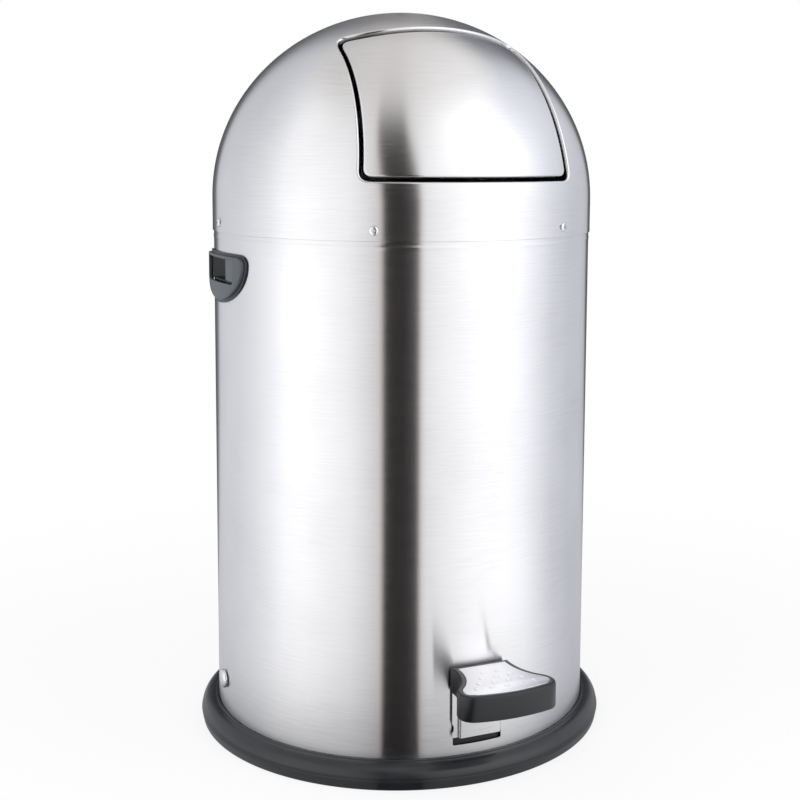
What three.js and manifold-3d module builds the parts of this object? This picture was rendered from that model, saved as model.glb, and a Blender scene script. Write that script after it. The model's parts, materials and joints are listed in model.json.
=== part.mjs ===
// Dome top waste receptacle with a pedal: a brushed steel drum on a moulded base ring, a lift-off
// steel dome whose curved flap swings up inside it, and a removable inner bucket.
// Units are millimetres, +Z is up, the front (pedal side) faces -Y, and z = 0 is the floor.
// Inside the assemblies, X and Y are measured from the drum's axis.

import * as THREE from 'three';
import { mergeVertices } from 'three/addons/utils/BufferGeometryUtils.js';
import Module from 'manifold-3d';

const wasm = await Module();
wasm.setup();

const rad = THREE.MathUtils.degToRad;

// ---------------------------------------------------------------- driving dimensions

const SEAT_GAP = 0.4; // air left between pieces that rest on or in each other

const BODY_R = 185; // outer radius of the drum
const SHEET = 1; // wall of the drum and of the dome
const BODY_TOP_Z = 490;

const RING_FOOT_R = 200.8; // base ring: radius at the floor,
const RING_CREASE_R = 202.3; // at its widest line,
const RING_LIP_R = 187.8; // and at the thin flat lip round the drum
const RING_INNER_R = 176;
const RING_CREASE_Z = 8.6;
const RING_TOP_Z = 22.4;
const RING_LEDGE_Z = 6; // the drum stands on this ledge
const RING_WALL = 3;

const PAN_Z = 12;
const PAN_T = 1.2;
const PAN_RISE = 4; // the middle of the pan is pressed up by this much
const PAN_FLANGE = 14;

const DOME_R = 186; // the dome's skirt stands 1 mm proud of the drum
const DOME_RISE = 179;
const DOME_CENTRE_Z = 522;
const DOME_EDGE_Z = 490.6;

const OPENING_HALF_W = 106.3; // half width of the feed opening at the height of the dome's centre
const OPENING_TAPER = 0.095; // what each side loses per millimetre of height
const OPENING_LOW_Z = 19.7; // above the dome's centre
const OPENING_TOP_Z = 159.6; // the top edge, in its middle,
const OPENING_TOP_BOW = 53.6; // and what it would fall by at the dome's sides
const OPENING_CORNER = 10;

const FLAP_GAP_SIDE = 2.5; // air round the closed flap
const FLAP_GAP_LOW = 4.2;
const FLAP_GAP_TOP = 3.6;
const FLAP_RECESS = 2.4; // depth of the flap's face under the dome's face
const FLAP_SHEET = 1.2;
const FLAP_HEM = 8; // depth of its turned-in edge
const FLAP_SWING = 58; // degrees
const FLAP_PIVOT_Y = -5; // the pivot lies in front of the dome's centre and below it,
const FLAP_PIVOT_Z = -8; // so that the flap draws away from the dome as it swings up
const PIN_R = 3;
const ARM_X = 160; // inner face of the right-hand flap arm
const ARM_T = 2;
const ARM_TILT = 33; // degrees

const COLLAR_INNER_R = 180.6;
const COLLAR_SPIGOT_R = 183.5; // drops inside the drum
const COLLAR_FLANGE_R = 184.6; // sits on the drum's edge
const COLLAR_LOW_Z = 476;
const COLLAR_STEP_Z = 490.4;
const COLLAR_HIGH_Z = 511;
const SCREW_Z = 499.5;
const SCREW_HEAD_R = 4.3;
const SCREW_SHANK_R = 1.7;
const BRACKET_X = 177;
const BRACKET_T = 1.8;

const AXLE_Z = 54;
const AXLE_R = 4;
const CAP_R = 9;
const CAP_HEIGHT = 4.8;

const PEDAL_SWING = 5.2; // degrees
const SLOT_HALF_W = 24.4;
const SLOT_LOW_Z = 31.8;
const SLOT_HIGH_Z = 77;
const LEVER_HALF_W = 21;
const LEVER_T = 1.5;
const LEVER_FRONT_Y = -191;
const LEVER_TOP_Z = 74;
const TONGUE_Z = 90;
const TONGUE_FRONT_Y = -240;
const BOOT_LOW_Z = 41;
const PAD_TOP_Z = 107;
const PAD_LOW_Z = 84;
const PAD_WALL = 4;
const PAD_BACK_Y = -186.6;
const PAD_FRONT_Y = -260.5;

const ROD_R = 2.5;
const ROD_ORBIT_R = 170; // the rod keeps this distance from the drum's axis
const ROD_ANGLE = 45; // where it rises: degrees from the right-hand side towards the back
const ROD_ARC_Z = 486;
const ROD_BEND_R = 12;
const LIFTING_ARM_T = 3;

const GRIP_HALF_W = 58; // side grips: half an ellipse under a flat top band
const GRIP_MID_Z = 462.6;
const GRIP_DROP = 38.5;
const GRIP_TOP_Z = 472.2;
const GRIP_PROUD = 5;
const POCKET_LOW_Z = 444;
const POCKET_HIGH_Z = 467.3;
const POCKET_HALF_W = 41;
const POCKET_BACK_HALF_W = 26;
const POCKET_BACK_R = 163;

const SEAT_Z = 90; // plate that the bucket stands on
const SEAT_R = 158;
const SEAT_T = 1.5;
const LEG_R = 130;
const LEG_HALF_W = 12.5;

const BUCKET_LOW_R = 136;
const BUCKET_TOP_R = 145;
const BUCKET_LOW_Z = 92;
const BUCKET_TOP_Z = 467;
const BUCKET_T = 1.2;
const BAIL_R = 154;
const BAIL_Z = 456;
const BAIL_WIRE_R = 2.3;
const BAIL_SAG = 14.5; // degrees: the bail leans against the bucket's wall below its pivots

// The pedal reaches further forward than the base ring reaches back. The origin is the middle of
// the whole footprint, so the drum's axis stands behind it by half the difference.
const AXIS_Y = (-PAD_FRONT_Y - RING_CREASE_R) / 2;

// The lifting arm raises the rod by this much, and the crank's length turns it into the swing.
const ROD_TRAVEL = ROD_ORBIT_R * Math.sin(rad(ROD_ANGLE)) * Math.tan(rad(PEDAL_SWING)) + 0.12;
const CRANK_R = ROD_TRAVEL / (2 * Math.sin(rad(FLAP_SWING / 2)));
const CRANK_Y = -CRANK_R * Math.cos(rad(FLAP_SWING / 2)); // from the flap's pivot
const CRANK_Z = -ROD_TRAVEL / 2;
const ARM_TOP_Z = LEVER_TOP_Z + SEAT_GAP + LIFTING_ARM_T;
const ROD_FOOT_Z = ARM_TOP_Z + SEAT_GAP;
const ROD_TIP_Z = DOME_CENTRE_Z + FLAP_PIVOT_Z + CRANK_Z - PIN_R - SEAT_GAP;
const ROD_TIP_ANGLE = Math.asin((FLAP_PIVOT_Y + CRANK_Y - 0.8) / ROD_ORBIT_R);

// ---------------------------------------------------------------- finishes

const STEEL = { color: 0xc9cacb, roughness: 0.32, metalness: 1 };
const BRIGHT_STEEL = { color: 0xdadbdc, roughness: 0.2, metalness: 1 };
const ZINC = { color: 0xa9adb0, roughness: 0.45, metalness: 0.9 };
const GREY_PLASTIC = { color: 0x50555b, roughness: 0.5, metalness: 0 };
const BLACK_PLASTIC = { color: 0x33363a, roughness: 0.5, metalness: 0 };
const WHITE_PLASTIC = { color: 0xd8d8d4, roughness: 0.5, metalness: 0 };
const GALVANISED = { color: 0xb4b8ba, roughness: 0.5, metalness: 0.9 };

// ---------------------------------------------------------------- solids

// A closed solid from a geometry, turned right side out where its outline ran backwards.
function solid(geometry) {
  const bare = geometry.index ? geometry.toNonIndexed() : geometry.clone();
  bare.deleteAttribute('normal');
  bare.deleteAttribute('uv');
  const merged = mergeVertices(bare, 1e-4);
  const { array } = merged.attributes.position;
  const corner = (i) => new THREE.Vector3().fromArray(array, 3 * i);
  const faces = [];
  let volume = 0;
  for (let i = 0; i < merged.index.count; i += 3) {
    const [a, b, c] = merged.index.array.subarray(i, i + 3);
    if (a === b || b === c || c === a) continue;
    faces.push(a, b, c);
    volume += corner(a).dot(corner(b).cross(corner(c)));
  }
  if (volume < 0) faces.reverse();
  const mesh = new wasm.Mesh({
    numProp: 3, vertProperties: new Float32Array(array), triVerts: new Uint32Array(faces),
  });
  return new wasm.Manifold(mesh);
}

const asSolid = (form) => (form.isBufferGeometry ? solid(form) : form);
const join = (...forms) => forms.map(asSolid).reduce((whole, form) => whole.add(form));
const cut = (...forms) => forms.map(asSolid).reduce((whole, form) => whole.subtract(form));
const meet = (...forms) => forms.map(asSolid).reduce((whole, form) => whole.intersect(form));

function piece(name, form, finish) {
  const { vertProperties, triVerts } = asSolid(form).getMesh();
  const geometry = new THREE.BufferGeometry();
  geometry.setAttribute('position', new THREE.Float32BufferAttribute(vertProperties, 3));
  geometry.setIndex(new THREE.Uint32BufferAttribute(triVerts, 1));
  geometry.computeVertexNormals();
  const mesh = new THREE.Mesh(geometry, new THREE.MeshStandardMaterial(finish));
  mesh.name = name;
  return mesh;
}

function assembly(place, ...pieces) {
  const group = new THREE.Group();
  group.position.copy(place);
  group.add(...pieces.flat());
  return group;
}

// A piece set on the drum's side and turned about its axis; 0 degrees is the right-hand side and
// 90 degrees the back.
function turned(mesh, degrees) {
  const holder = new THREE.Group();
  holder.rotation.z = rad(degrees);
  holder.add(mesh);
  return holder;
}

// Revolves [radius, height] pairs about Z, from the axis back to the axis.
function revolve(profile, sides = 48) {
  const points = profile.map(([r, z]) => new THREE.Vector2(r, z));
  return new THREE.LatheGeometry(points, sides).rotateX(Math.PI / 2);
}

// The same for a profile off the axis, which closes on itself.
const revolveRing = (profile, sides) => revolve([...profile, profile[0]], sides);

const tube = (innerR, outerR, lowZ, highZ, sides) => revolveRing(
  [[innerR, lowZ], [outerR, lowZ], [outerR, highZ], [innerR, highZ]], sides);

function outline(points) {
  return new THREE.Shape(points.map(([x, y]) => new THREE.Vector2(x, y)));
}

function prism(shape, depth, curveSegments) {
  return new THREE.ExtrudeGeometry(shape, { depth, bevelEnabled: false, curveSegments });
}

// Prisms of a shape drawn in X and Y, in Y and Z, and in X and Z.
function prismZ(shape, low, high, curveSegments = 6) {
  return prism(shape, high - low, curveSegments).translate(0, 0, low);
}

function prismX(shape, low, high, curveSegments = 6) {
  const geometry = prism(shape, high - low, curveSegments);
  return geometry.rotateX(Math.PI / 2).rotateZ(Math.PI / 2).translate(low, 0, 0);
}

function prismY(shape, low, high, curveSegments = 6) {
  return prism(shape, high - low, curveSegments).rotateX(Math.PI / 2).translate(0, high, 0);
}

function block([lowX, highX], [lowY, highY], [lowZ, highZ]) {
  const geometry = new THREE.BoxGeometry(highX - lowX, highY - lowY, highZ - lowZ);
  return geometry.translate((lowX + highX) / 2, (lowY + highY) / 2, (lowZ + highZ) / 2);
}

function barX(radius, low, high, y = 0, z = 0, sides = 12) {
  const geometry = new THREE.CylinderGeometry(radius, radius, high - low, sides);
  return geometry.rotateZ(Math.PI / 2).translate((low + high) / 2, y, z);
}

function barZ(radius, low, high, x = 0, y = 0, sides = 12) {
  const geometry = new THREE.CylinderGeometry(radius, radius, high - low, sides);
  return geometry.rotateX(Math.PI / 2).translate(x, y, (low + high) / 2);
}

// A round wire along a curve.
function wire(curve, radius, steps, sides = 8) {
  const section = new THREE.Shape();
  section.absarc(0, 0, radius, 0, 2 * Math.PI);
  return new THREE.ExtrudeGeometry(section, {
    extrudePath: curve, steps, curveSegments: sides / 2, bevelEnabled: false,
  });
}

// Outline of a strip of even thickness that is bent at each point of a line.
function bentStrip(points, thickness) {
  const line = points.map(([x, y]) => new THREE.Vector2(x, y));
  const last = line.length - 1;
  const square = (i) => {
    const along = line[i + 1].clone().sub(line[i]).normalize();
    return new THREE.Vector2(-along.y, along.x);
  };
  const edge = (half) => line.map((point, i) => {
    const after = square(Math.min(i, last - 1));
    const mitre = square(Math.max(i - 1, 0)).add(after).normalize();
    return point.clone().addScaledVector(mitre, half / mitre.dot(after));
  });
  return new THREE.Shape([...edge(thickness / 2), ...edge(-thickness / 2).reverse()]);
}

// A bar with round ends between two points.
function roundedBar([x0, y0], [x1, y1], r0, r1) {
  const turn = Math.atan2(y1 - y0, x1 - x0);
  const shape = new THREE.Shape();
  shape.absarc(x1, y1, r1, turn - Math.PI / 2, turn + Math.PI / 2, false);
  shape.absarc(x0, y0, r0, turn + Math.PI / 2, turn + 1.5 * Math.PI, false);
  return shape;
}

function roundedRectangle(halfW, low, high, r) {
  const shape = new THREE.Shape();
  shape.absarc(halfW - r, low + r, r, -Math.PI / 2, 0, false);
  shape.absarc(halfW - r, high - r, r, 0, Math.PI / 2, false);
  shape.absarc(-halfW + r, high - r, r, Math.PI / 2, Math.PI, false);
  shape.absarc(-halfW + r, low + r, r, Math.PI, 1.5 * Math.PI, false);
  return shape;
}

const onCircle = (radius, angle, z) => new THREE.Vector3(
  radius * Math.cos(angle), radius * Math.sin(angle), z);

class LevelArc extends THREE.Curve {
  constructor(radius, from, to, z) {
    super();
    Object.assign(this, { radius, from, to, z });
  }

  getPoint(t, target = new THREE.Vector3()) {
    return target.copy(onCircle(this.radius, this.from + t * (this.to - this.from), this.z));
  }
}

// ---------------------------------------------------------------- base and drum

// Moulded ring: a flat lip round the drum, a full shoulder down to a crease, a foot that tucks
// under, a groove that holds the drum's edge, and a hollow underside between two standing rims.
function baseRing() {
  const lipStep = 0.8;
  const shoulder = new THREE.EllipseCurve(
    RING_LIP_R + lipStep, RING_CREASE_Z, RING_CREASE_R - RING_LIP_R - lipStep,
    RING_TOP_Z - lipStep - RING_CREASE_Z, 0, Math.PI / 2);
  const outer = BODY_R + SEAT_GAP;
  const inner = BODY_R - SHEET - SEAT_GAP;
  const hollowTopZ = RING_LEDGE_Z - 2;
  const profile = [
    [RING_INNER_R, 0], [inner + RING_WALL, 0], [inner + RING_WALL + 1, hollowTopZ],
    [RING_FOOT_R - RING_WALL - 1, hollowTopZ], [RING_FOOT_R - RING_WALL, 0], [RING_FOOT_R, 0],
    ...shoulder.getPoints(3).map(({ x, y }) => [x, y]),
    [RING_LIP_R, RING_TOP_Z], [outer, RING_TOP_Z], [outer, RING_LEDGE_Z],
    [inner, RING_LEDGE_Z], [inner, PAN_Z - SEAT_GAP], [RING_INNER_R, PAN_Z - SEAT_GAP],
  ];
  return piece('base_ring', revolveRing(profile, 60), GREY_PLASTIC);
}

// Pressed pan that closes the drum's bottom and is riveted inside its wall.
function basePan() {
  const r = BODY_R - SHEET - SEAT_GAP;
  const profile = [
    [0, PAN_Z + PAN_RISE], [r - 26, PAN_Z + PAN_RISE], [r - 20, PAN_Z],
    [r, PAN_Z], [r, PAN_Z + PAN_FLANGE], [r - PAN_T, PAN_Z + PAN_FLANGE], [r - PAN_T, PAN_Z + PAN_T],
    [r - 19, PAN_Z + PAN_T], [r - 25, PAN_Z + PAN_RISE + PAN_T], [0, PAN_Z + PAN_RISE + PAN_T],
  ];
  return piece('base_pan', revolve(profile, 36), GALVANISED);
}

// Drum of rolled sheet with the pedal's slot, the two grip windows and the axle's holes.
function bodyShell() {
  const wall = tube(BODY_R - SHEET, BODY_R, RING_LEDGE_Z + SEAT_GAP, BODY_TOP_Z, 60);
  const reach = BODY_R + 9;
  const slot = block([-SLOT_HALF_W, SLOT_HALF_W], [-reach, -reach + 60], [SLOT_LOW_Z, SLOT_HIGH_Z]);
  const windowEdge = 4;
  const window = roundedRectangle(
    POCKET_HALF_W + windowEdge, POCKET_LOW_Z - windowEdge, POCKET_HIGH_Z + windowEdge, windowEdge);
  const windows = prismX(window, -reach, reach, 3);
  const axleHoles = barX(AXLE_R + 0.5, -reach, reach, 0, AXLE_Z);
  return piece('body_shell', cut(wall, slot, windows, axleHoles), STEEL);
}

function axle() {
  const end = BODY_R + 2.4;
  return piece('axle', barX(AXLE_R, -end, end, 0, AXLE_Z), BRIGHT_STEEL);
}

// Domed cap pressed on the axle's end, outside the drum. It is drawn along Z and turned.
function axleCap(name, side) {
  const bore = AXLE_R + SEAT_GAP;
  const boreDepth = 2.4;
  const crown = new THREE.EllipseCurve(0, 0.9, CAP_R, CAP_HEIGHT - 0.9, 0, Math.PI / 2);
  const profile = [
    [0, boreDepth], [bore, boreDepth], [bore, 0], [CAP_R, 0],
    ...crown.getPoints(4).map(({ x, y }) => [Math.max(x, 0), y]),
  ];
  const cap = piece(name, revolve(profile, 12), BRIGHT_STEEL);
  cap.rotation.y = side * Math.PI / 2;
  cap.position.set(side * (BODY_R + SEAT_GAP), 0, AXLE_Z);
  return cap;
}

// Spring clip that keeps the lever in the middle of the axle.
function axleClip(name, side) {
  const clip = piece(name, tube(AXLE_R + SEAT_GAP, AXLE_R + 3.4, 0, 1.4, 16), BRIGHT_STEEL);
  clip.rotation.y = side * Math.PI / 2;
  clip.position.set(side * (LEVER_HALF_W + 0.6), 0, AXLE_Z);
  return clip;
}

function bucketSeat() {
  const holeR = 28;
  const rimZ = SEAT_Z + 10;
  const profile = [
    [holeR, SEAT_Z], [SEAT_R, SEAT_Z], [SEAT_R, rimZ], [SEAT_R - SEAT_T, rimZ],
    [SEAT_R - SEAT_T, SEAT_Z + SEAT_T], [holeR, SEAT_Z + SEAT_T],
  ];
  return piece('bucket_seat', revolveRing(profile, 36), GALVANISED);
}

// Leg of bent strip: one foot on the pan, the other under the seat.
function seatLeg(name, angle) {
  const half = LEVER_T / 2;
  const low = PAN_Z + PAN_RISE + PAN_T + SEAT_GAP + half;
  const high = SEAT_Z - SEAT_GAP - half;
  const strip = bentStrip([[LEG_R - 16, low], [LEG_R, low], [LEG_R, high], [LEG_R - 16, high]], LEVER_T);
  return turned(piece(name, prismY(strip, -LEG_HALF_W, LEG_HALF_W), GALVANISED), angle);
}

// Guide on the drum's inner wall in which the lift rod slides.
function rodGuide(name, z) {
  const height = 14;
  const margin = 3;
  const eye = barZ(ROD_R + 3.2, z, z + height, ROD_ORBIT_R, 0);
  const web = block([ROD_ORBIT_R, BODY_R - 2.5], [-margin, margin], [z, z + height]);
  const wall = tube(BODY_R - 3.4, BODY_R - SHEET - SEAT_GAP, z - margin, z + height + margin, 72);
  const foot = meet(wall, block([BODY_R - 9, BODY_R], [-13, 13], [z - 9, z + height + 9]));
  const bore = barZ(ROD_R + SEAT_GAP, z - 1, z + height + 1, ROD_ORBIT_R, 0);
  return turned(piece(name, cut(join(eye, web, foot), bore), WHITE_PLASTIC), ROD_ANGLE);
}

// ---------------------------------------------------------------- side grips

function gripOutline() {
  const corner = 14;
  const shape = new THREE.Shape();
  shape.absellipse(0, GRIP_MID_Z, GRIP_HALF_W, GRIP_DROP, Math.PI, 2 * Math.PI, false);
  shape.quadraticCurveTo(GRIP_HALF_W, GRIP_TOP_Z, GRIP_HALF_W - corner, GRIP_TOP_Z);
  shape.lineTo(corner - GRIP_HALF_W, GRIP_TOP_Z);
  shape.quadraticCurveTo(-GRIP_HALF_W, GRIP_TOP_Z, -GRIP_HALF_W, GRIP_MID_Z);
  return shape;
}

// The face stands proud of the drum along the top and curves back to it at the bottom.
function gripFace() {
  const back = BODY_R + SEAT_GAP;
  const low = GRIP_MID_Z - GRIP_DROP - 1;
  const high = GRIP_TOP_Z + 1;
  const edge = 0.6;
  const depth = GRIP_PROUD - SEAT_GAP - edge;
  const swell = new THREE.EllipseCurve(back + edge, low + 24, depth, 24, -Math.PI / 2, 0);
  const profile = [
    [back, high], [back, low], ...swell.getPoints(4).map(({ x, y }) => [x, y]),
    [back + edge + depth, high],
  ];
  return meet(revolveRing(profile, 72), prismX(gripOutline(), BODY_R - 40, BODY_R + 9, 10));
}

// Plan of the finger pocket, with the given wall round it: the sides splay towards the face.
function pocketPlan(wall) {
  const mouth = BODY_R + 12;
  const splay = (POCKET_HALF_W - POCKET_BACK_HALF_W) / (BODY_R + GRIP_PROUD - POCKET_BACK_R);
  const back = POCKET_BACK_R - wall;
  const narrow = POCKET_BACK_HALF_W + wall;
  const wide = narrow + splay * (mouth - back);
  return outline([[back, -narrow], [mouth, -wide], [mouth, wide], [back, narrow]]);
}

// Recessed grip: a half-moon face round a splayed finger pocket.
function sideGrip(name, angle) {
  const wall = 2.4;
  const cup = meet(
    prismZ(pocketPlan(wall), POCKET_LOW_Z - wall, POCKET_HIGH_Z + wall),
    tube(POCKET_BACK_R - 9, BODY_R + 2, POCKET_LOW_Z - 9, GRIP_TOP_Z, 72));
  const pocket = prismZ(pocketPlan(0), POCKET_LOW_Z, POCKET_HIGH_Z);
  return turned(piece(name, cut(join(gripFace(), cup), pocket), GREY_PLASTIC), angle);
}

// ---------------------------------------------------------------- pedal

// Heights of the pedal's pieces are taken from the axle, which carries them.
const aboveAxle = (z) => z - AXLE_Z;

// Lever of folded sheet: a channel that passes through the slot, with ears for the axle, a boot
// in front of the drum and a tongue under the pad.
function pedalLever() {
  const back = 34;
  const bootBackY = -188.2;
  const depth = 13;
  const [low, high] = [aboveAxle(LEVER_TOP_Z - depth), aboveAxle(LEVER_TOP_Z)];
  const [bootLow, bootHigh] = [aboveAxle(BOOT_LOW_Z), aboveAxle(TONGUE_Z)];
  const earR = 11;
  const flank = 8;
  const sole = 5;
  const cheek = outline([
    [LEVER_FRONT_Y, bootLow], [bootBackY, bootLow], [bootBackY, low], [-2 * earR, low],
    [-earR, -flank], [-sole, -earR], [sole, -earR], [earR, -flank], [2 * earR, low], [back, low],
    [back, high], [bootBackY, high], [bootBackY, bootHigh], [LEVER_FRONT_Y, bootHigh],
  ]);
  const width = [-LEVER_HALF_W, LEVER_HALF_W];
  const cheeks = [-LEVER_HALF_W, LEVER_HALF_W - LEVER_T].map((x) => prismX(cheek, x, x + LEVER_T));
  const web = block(width, [LEVER_FRONT_Y, back], [high - LEVER_T, high]);
  const boot = block(width, [LEVER_FRONT_Y, LEVER_FRONT_Y + LEVER_T], [bootLow, bootHigh]);
  const tongue = block(width, [TONGUE_FRONT_Y, bootBackY], [bootHigh - LEVER_T, bootHigh]);
  const bore = barX(AXLE_R + 0.5, -LEVER_HALF_W - 2, LEVER_HALF_W + 2);
  return piece('pedal_lever', cut(join(...cheeks, web, boot, tongue), bore), STEEL);
}

function pivotSleeve() {
  const end = LEVER_HALF_W - LEVER_T - SEAT_GAP;
  const sleeve = cut(barX(7, -end, end), barX(AXLE_R + SEAT_GAP, -end - 1, end + 1));
  return piece('pivot_sleeve', sleeve, WHITE_PLASTIC);
}

// Flat arm on the lever's back that reaches to the foot of the lift rod.
function liftingArm() {
  const tip = onCircle(ROD_ORBIT_R, rad(ROD_ANGLE), 0);
  const shape = roundedBar([2, 12], [tip.x, tip.y], 13, 8.5);
  const low = aboveAxle(LEVER_TOP_Z + SEAT_GAP);
  return piece('lifting_arm', prismZ(shape, low, low + LIFTING_ARM_T), BRIGHT_STEEL);
}

// Outline of the pad seen from above, drawn in by a margin: narrow at the drum, hollow sides,
// full corners and a bowed front.
function padOutline(margin) {
  const back = PAD_BACK_Y - margin;
  const front = PAD_FRONT_Y + margin;
  const neck = 28.4 - margin;
  const shoulder = 42 - margin * 0.8;
  const corner = 48.5 - margin;
  const toe = 35 - margin * 0.6;
  const waistY = -208;
  const flareY = -222 - margin * 0.6;
  const cheekY = -231 - margin * 0.6;
  const bow = 4;
  const round = 7;
  const shape = new THREE.Shape();
  shape.moveTo(-neck, back);
  shape.bezierCurveTo(1 - neck, waistY, -neck - 5, flareY, -shoulder, cheekY);
  shape.bezierCurveTo(-corner, cheekY - round, -corner, front + round, -toe, front + bow);
  shape.quadraticCurveTo(0, front - bow, toe, front + bow);
  shape.bezierCurveTo(corner, front + round, corner, cheekY - round, shoulder, cheekY);
  shape.bezierCurveTo(neck + 5, flareY, neck - 1, waistY, neck, back);
  return shape;
}

// Moulded foot pad: a deep cap over the lever's tongue, with a tray for the tread plate.
function pedalPad() {
  const bevel = 1.4;
  const trayDepth = 1.4;
  const outer = new THREE.ExtrudeGeometry(padOutline(bevel), {
    depth: PAD_TOP_Z - PAD_LOW_Z - 2 * bevel, bevelEnabled: true, bevelThickness: bevel,
    bevelSize: bevel, bevelSegments: 1, curveSegments: 6,
  }).translate(0, 0, aboveAxle(PAD_LOW_Z) + bevel);
  const [low, high] = [aboveAxle(PAD_LOW_Z), aboveAxle(PAD_TOP_Z)];
  const roofZ = high - PAD_WALL;
  const hollow = prismZ(padOutline(PAD_WALL), low - 1, roofZ);
  const throatW = LEVER_HALF_W + 1;
  const throatTop = aboveAxle(TONGUE_Z) + SEAT_GAP;
  const throat = block([-throatW, throatW], [LEVER_FRONT_Y, PAD_BACK_Y + 9], [low - 1, throatTop]);
  const tray = prismZ(padOutline(PAD_WALL + 0.6), high - trayDepth, high + 1);
  const ribs = [-12, 12].map((x) => block([x - 1, x + 1], [-253, -192], [throatTop, roofZ + 1]));
  return piece('pedal_pad', join(cut(outer, hollow, throat, tray), ...ribs), BLACK_PLASTIC);
}

// Bright tread plate let into the pad, with bowed rows of embossed studs.
function treadPlate() {
  const low = aboveAxle(PAD_TOP_Z) - 1.4 + SEAT_GAP;
  const high = aboveAxle(PAD_TOP_Z) + 0.2;
  const pitch = 14;
  const rowPitch = 11;
  const firstY = -210;
  const bow = 0.08;
  const studs = [];
  for (const row of [0, 1, 2, 3]) {
    for (let i = 0; i < row + 2; i++) {
      const x = (i - (row + 1) / 2) * pitch;
      const stud = new THREE.CylinderGeometry(1.4, 3, 1, 6).rotateX(Math.PI / 2);
      studs.push(stud.translate(x, firstY - row * rowPitch + Math.abs(x) * bow, high + 0.3));
    }
  }
  return piece('tread_plate', join(prismZ(padOutline(PAD_WALL + 1), low, high), ...studs), BRIGHT_STEEL);
}

// ---------------------------------------------------------------- lift rod

// Wire rod: a straight leg up the drum's wall, an arc round it above the grip, and a short end
// that turns up under the flap's crank pin.
function liftRod() {
  const foot = rad(ROD_ANGLE);
  const turn = ROD_BEND_R / ROD_ORBIT_R;
  const bendZ = ROD_ARC_Z - ROD_BEND_R;
  const stubZ = ROD_TIP_Z - 4;
  const at = (angle, z) => onCircle(ROD_ORBIT_R, angle, z);
  const arcStart = foot - turn;
  const arcEnd = ROD_TIP_ANGLE + turn / 2;
  const stubBend = ROD_ARC_Z + ROD_BEND_R / 2;
  const path = new THREE.CurvePath();
  path.add(new THREE.LineCurve3(at(foot, bendZ - 9), at(foot, bendZ)));
  path.add(new THREE.QuadraticBezierCurve3(
    at(foot, bendZ), at(foot, ROD_ARC_Z), at(arcStart, ROD_ARC_Z)));
  path.add(new LevelArc(ROD_ORBIT_R, arcStart, arcEnd, ROD_ARC_Z));
  path.add(new THREE.QuadraticBezierCurve3(
    at(arcEnd, ROD_ARC_Z), at(ROD_TIP_ANGLE, ROD_ARC_Z), at(ROD_TIP_ANGLE, stubBend)));
  path.add(new THREE.LineCurve3(at(ROD_TIP_ANGLE, stubBend), at(ROD_TIP_ANGLE, stubZ)));
  const { x, y } = at(foot, 0);
  const leg = barZ(ROD_R, ROD_FOOT_Z + 3, bendZ - 8, x, y, 8);
  return piece('lift_rod', join(wire(path, ROD_R, 36), leg), BRIGHT_STEEL);
}

// Plastic ball under the rod, which rides on the lifting arm.
function rodFoot() {
  const r = 5;
  const { x, y } = onCircle(ROD_ORBIT_R, rad(ROD_ANGLE), 0);
  const ball = new THREE.SphereGeometry(r, 10, 6).rotateX(Math.PI / 2).translate(x, y, ROD_FOOT_Z + r);
  const socket = barZ(ROD_R + SEAT_GAP, ROD_FOOT_Z + 3 - SEAT_GAP, ROD_FOOT_Z + 2 * r + 1, x, y);
  return piece('rod_foot', cut(ball, socket), WHITE_PLASTIC);
}

// Flat-topped plastic cap that pushes the crank pin up.
function rodTip() {
  const { x, y } = onCircle(ROD_ORBIT_R, ROD_TIP_ANGLE, 0);
  const low = ROD_TIP_Z - 11;
  const socket = barZ(ROD_R + SEAT_GAP, low - 1, ROD_TIP_Z - 4 + SEAT_GAP, x, y);
  return piece('rod_tip', cut(barZ(4.2, low, ROD_TIP_Z, x, y), socket), WHITE_PLASTIC);
}

// ---------------------------------------------------------------- dome

// Heights of the dome's pieces are taken from its centre, where its curve begins.
const aboveCentre = (z) => z - DOME_CENTRE_Z;

// The dome's form under its face by a given depth, filled, with an upright skirt down to lowZ.
function domeForm(inset, lowZ) {
  const crown = new THREE.EllipseCurve(0, 0, DOME_R - inset, DOME_RISE - inset, 0, Math.PI / 2);
  const curve = crown.getPoints(9).map(({ x, y }) => [Math.max(x, 0), y]);
  return revolve([[0, lowZ], [DOME_R - inset, lowZ], ...curve]);
}

// The feed opening or the flap seen from the front: a level bottom, straight tapered sides, and
// a bowed top edge. Up there the dome leans back, so a gap takes less than half its width in height.
function frontOutline(sideGap, lowGap, topGap, corner) {
  const low = OPENING_LOW_Z + lowGap;
  const lean = Math.sqrt(1 - (OPENING_TOP_Z / DOME_RISE) ** 2);
  const crest = OPENING_TOP_Z - topGap * lean;
  const topAt = (x) => crest - OPENING_TOP_BOW * (x / DOME_R) ** 2;
  const sideAt = (z) => OPENING_HALF_W - sideGap - OPENING_TAPER * z;
  let topX = sideAt(crest);
  for (let i = 0; i < 9; i++) topX = sideAt(topAt(topX));
  const topZ = topAt(topX);
  const shape = new THREE.Shape();
  shape.moveTo(corner - sideAt(low), low);
  shape.lineTo(sideAt(low) - corner, low);
  shape.quadraticCurveTo(sideAt(low), low, sideAt(low + corner), low + corner);
  shape.lineTo(sideAt(topZ - corner), topZ - corner);
  shape.quadraticCurveTo(topX, topZ, topX - corner, topAt(topX - corner));
  const steps = 10;
  for (let i = 1; i <= steps; i++) {
    const x = (topX - corner) * (1 - (2 * i) / steps);
    shape.lineTo(x, topAt(x));
  }
  shape.quadraticCurveTo(-topX, topZ, -sideAt(topZ - corner), topZ - corner);
  shape.lineTo(-sideAt(low + corner), low + corner);
  shape.quadraticCurveTo(-sideAt(low), low, corner - sideAt(low), low);
  return shape;
}

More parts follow.
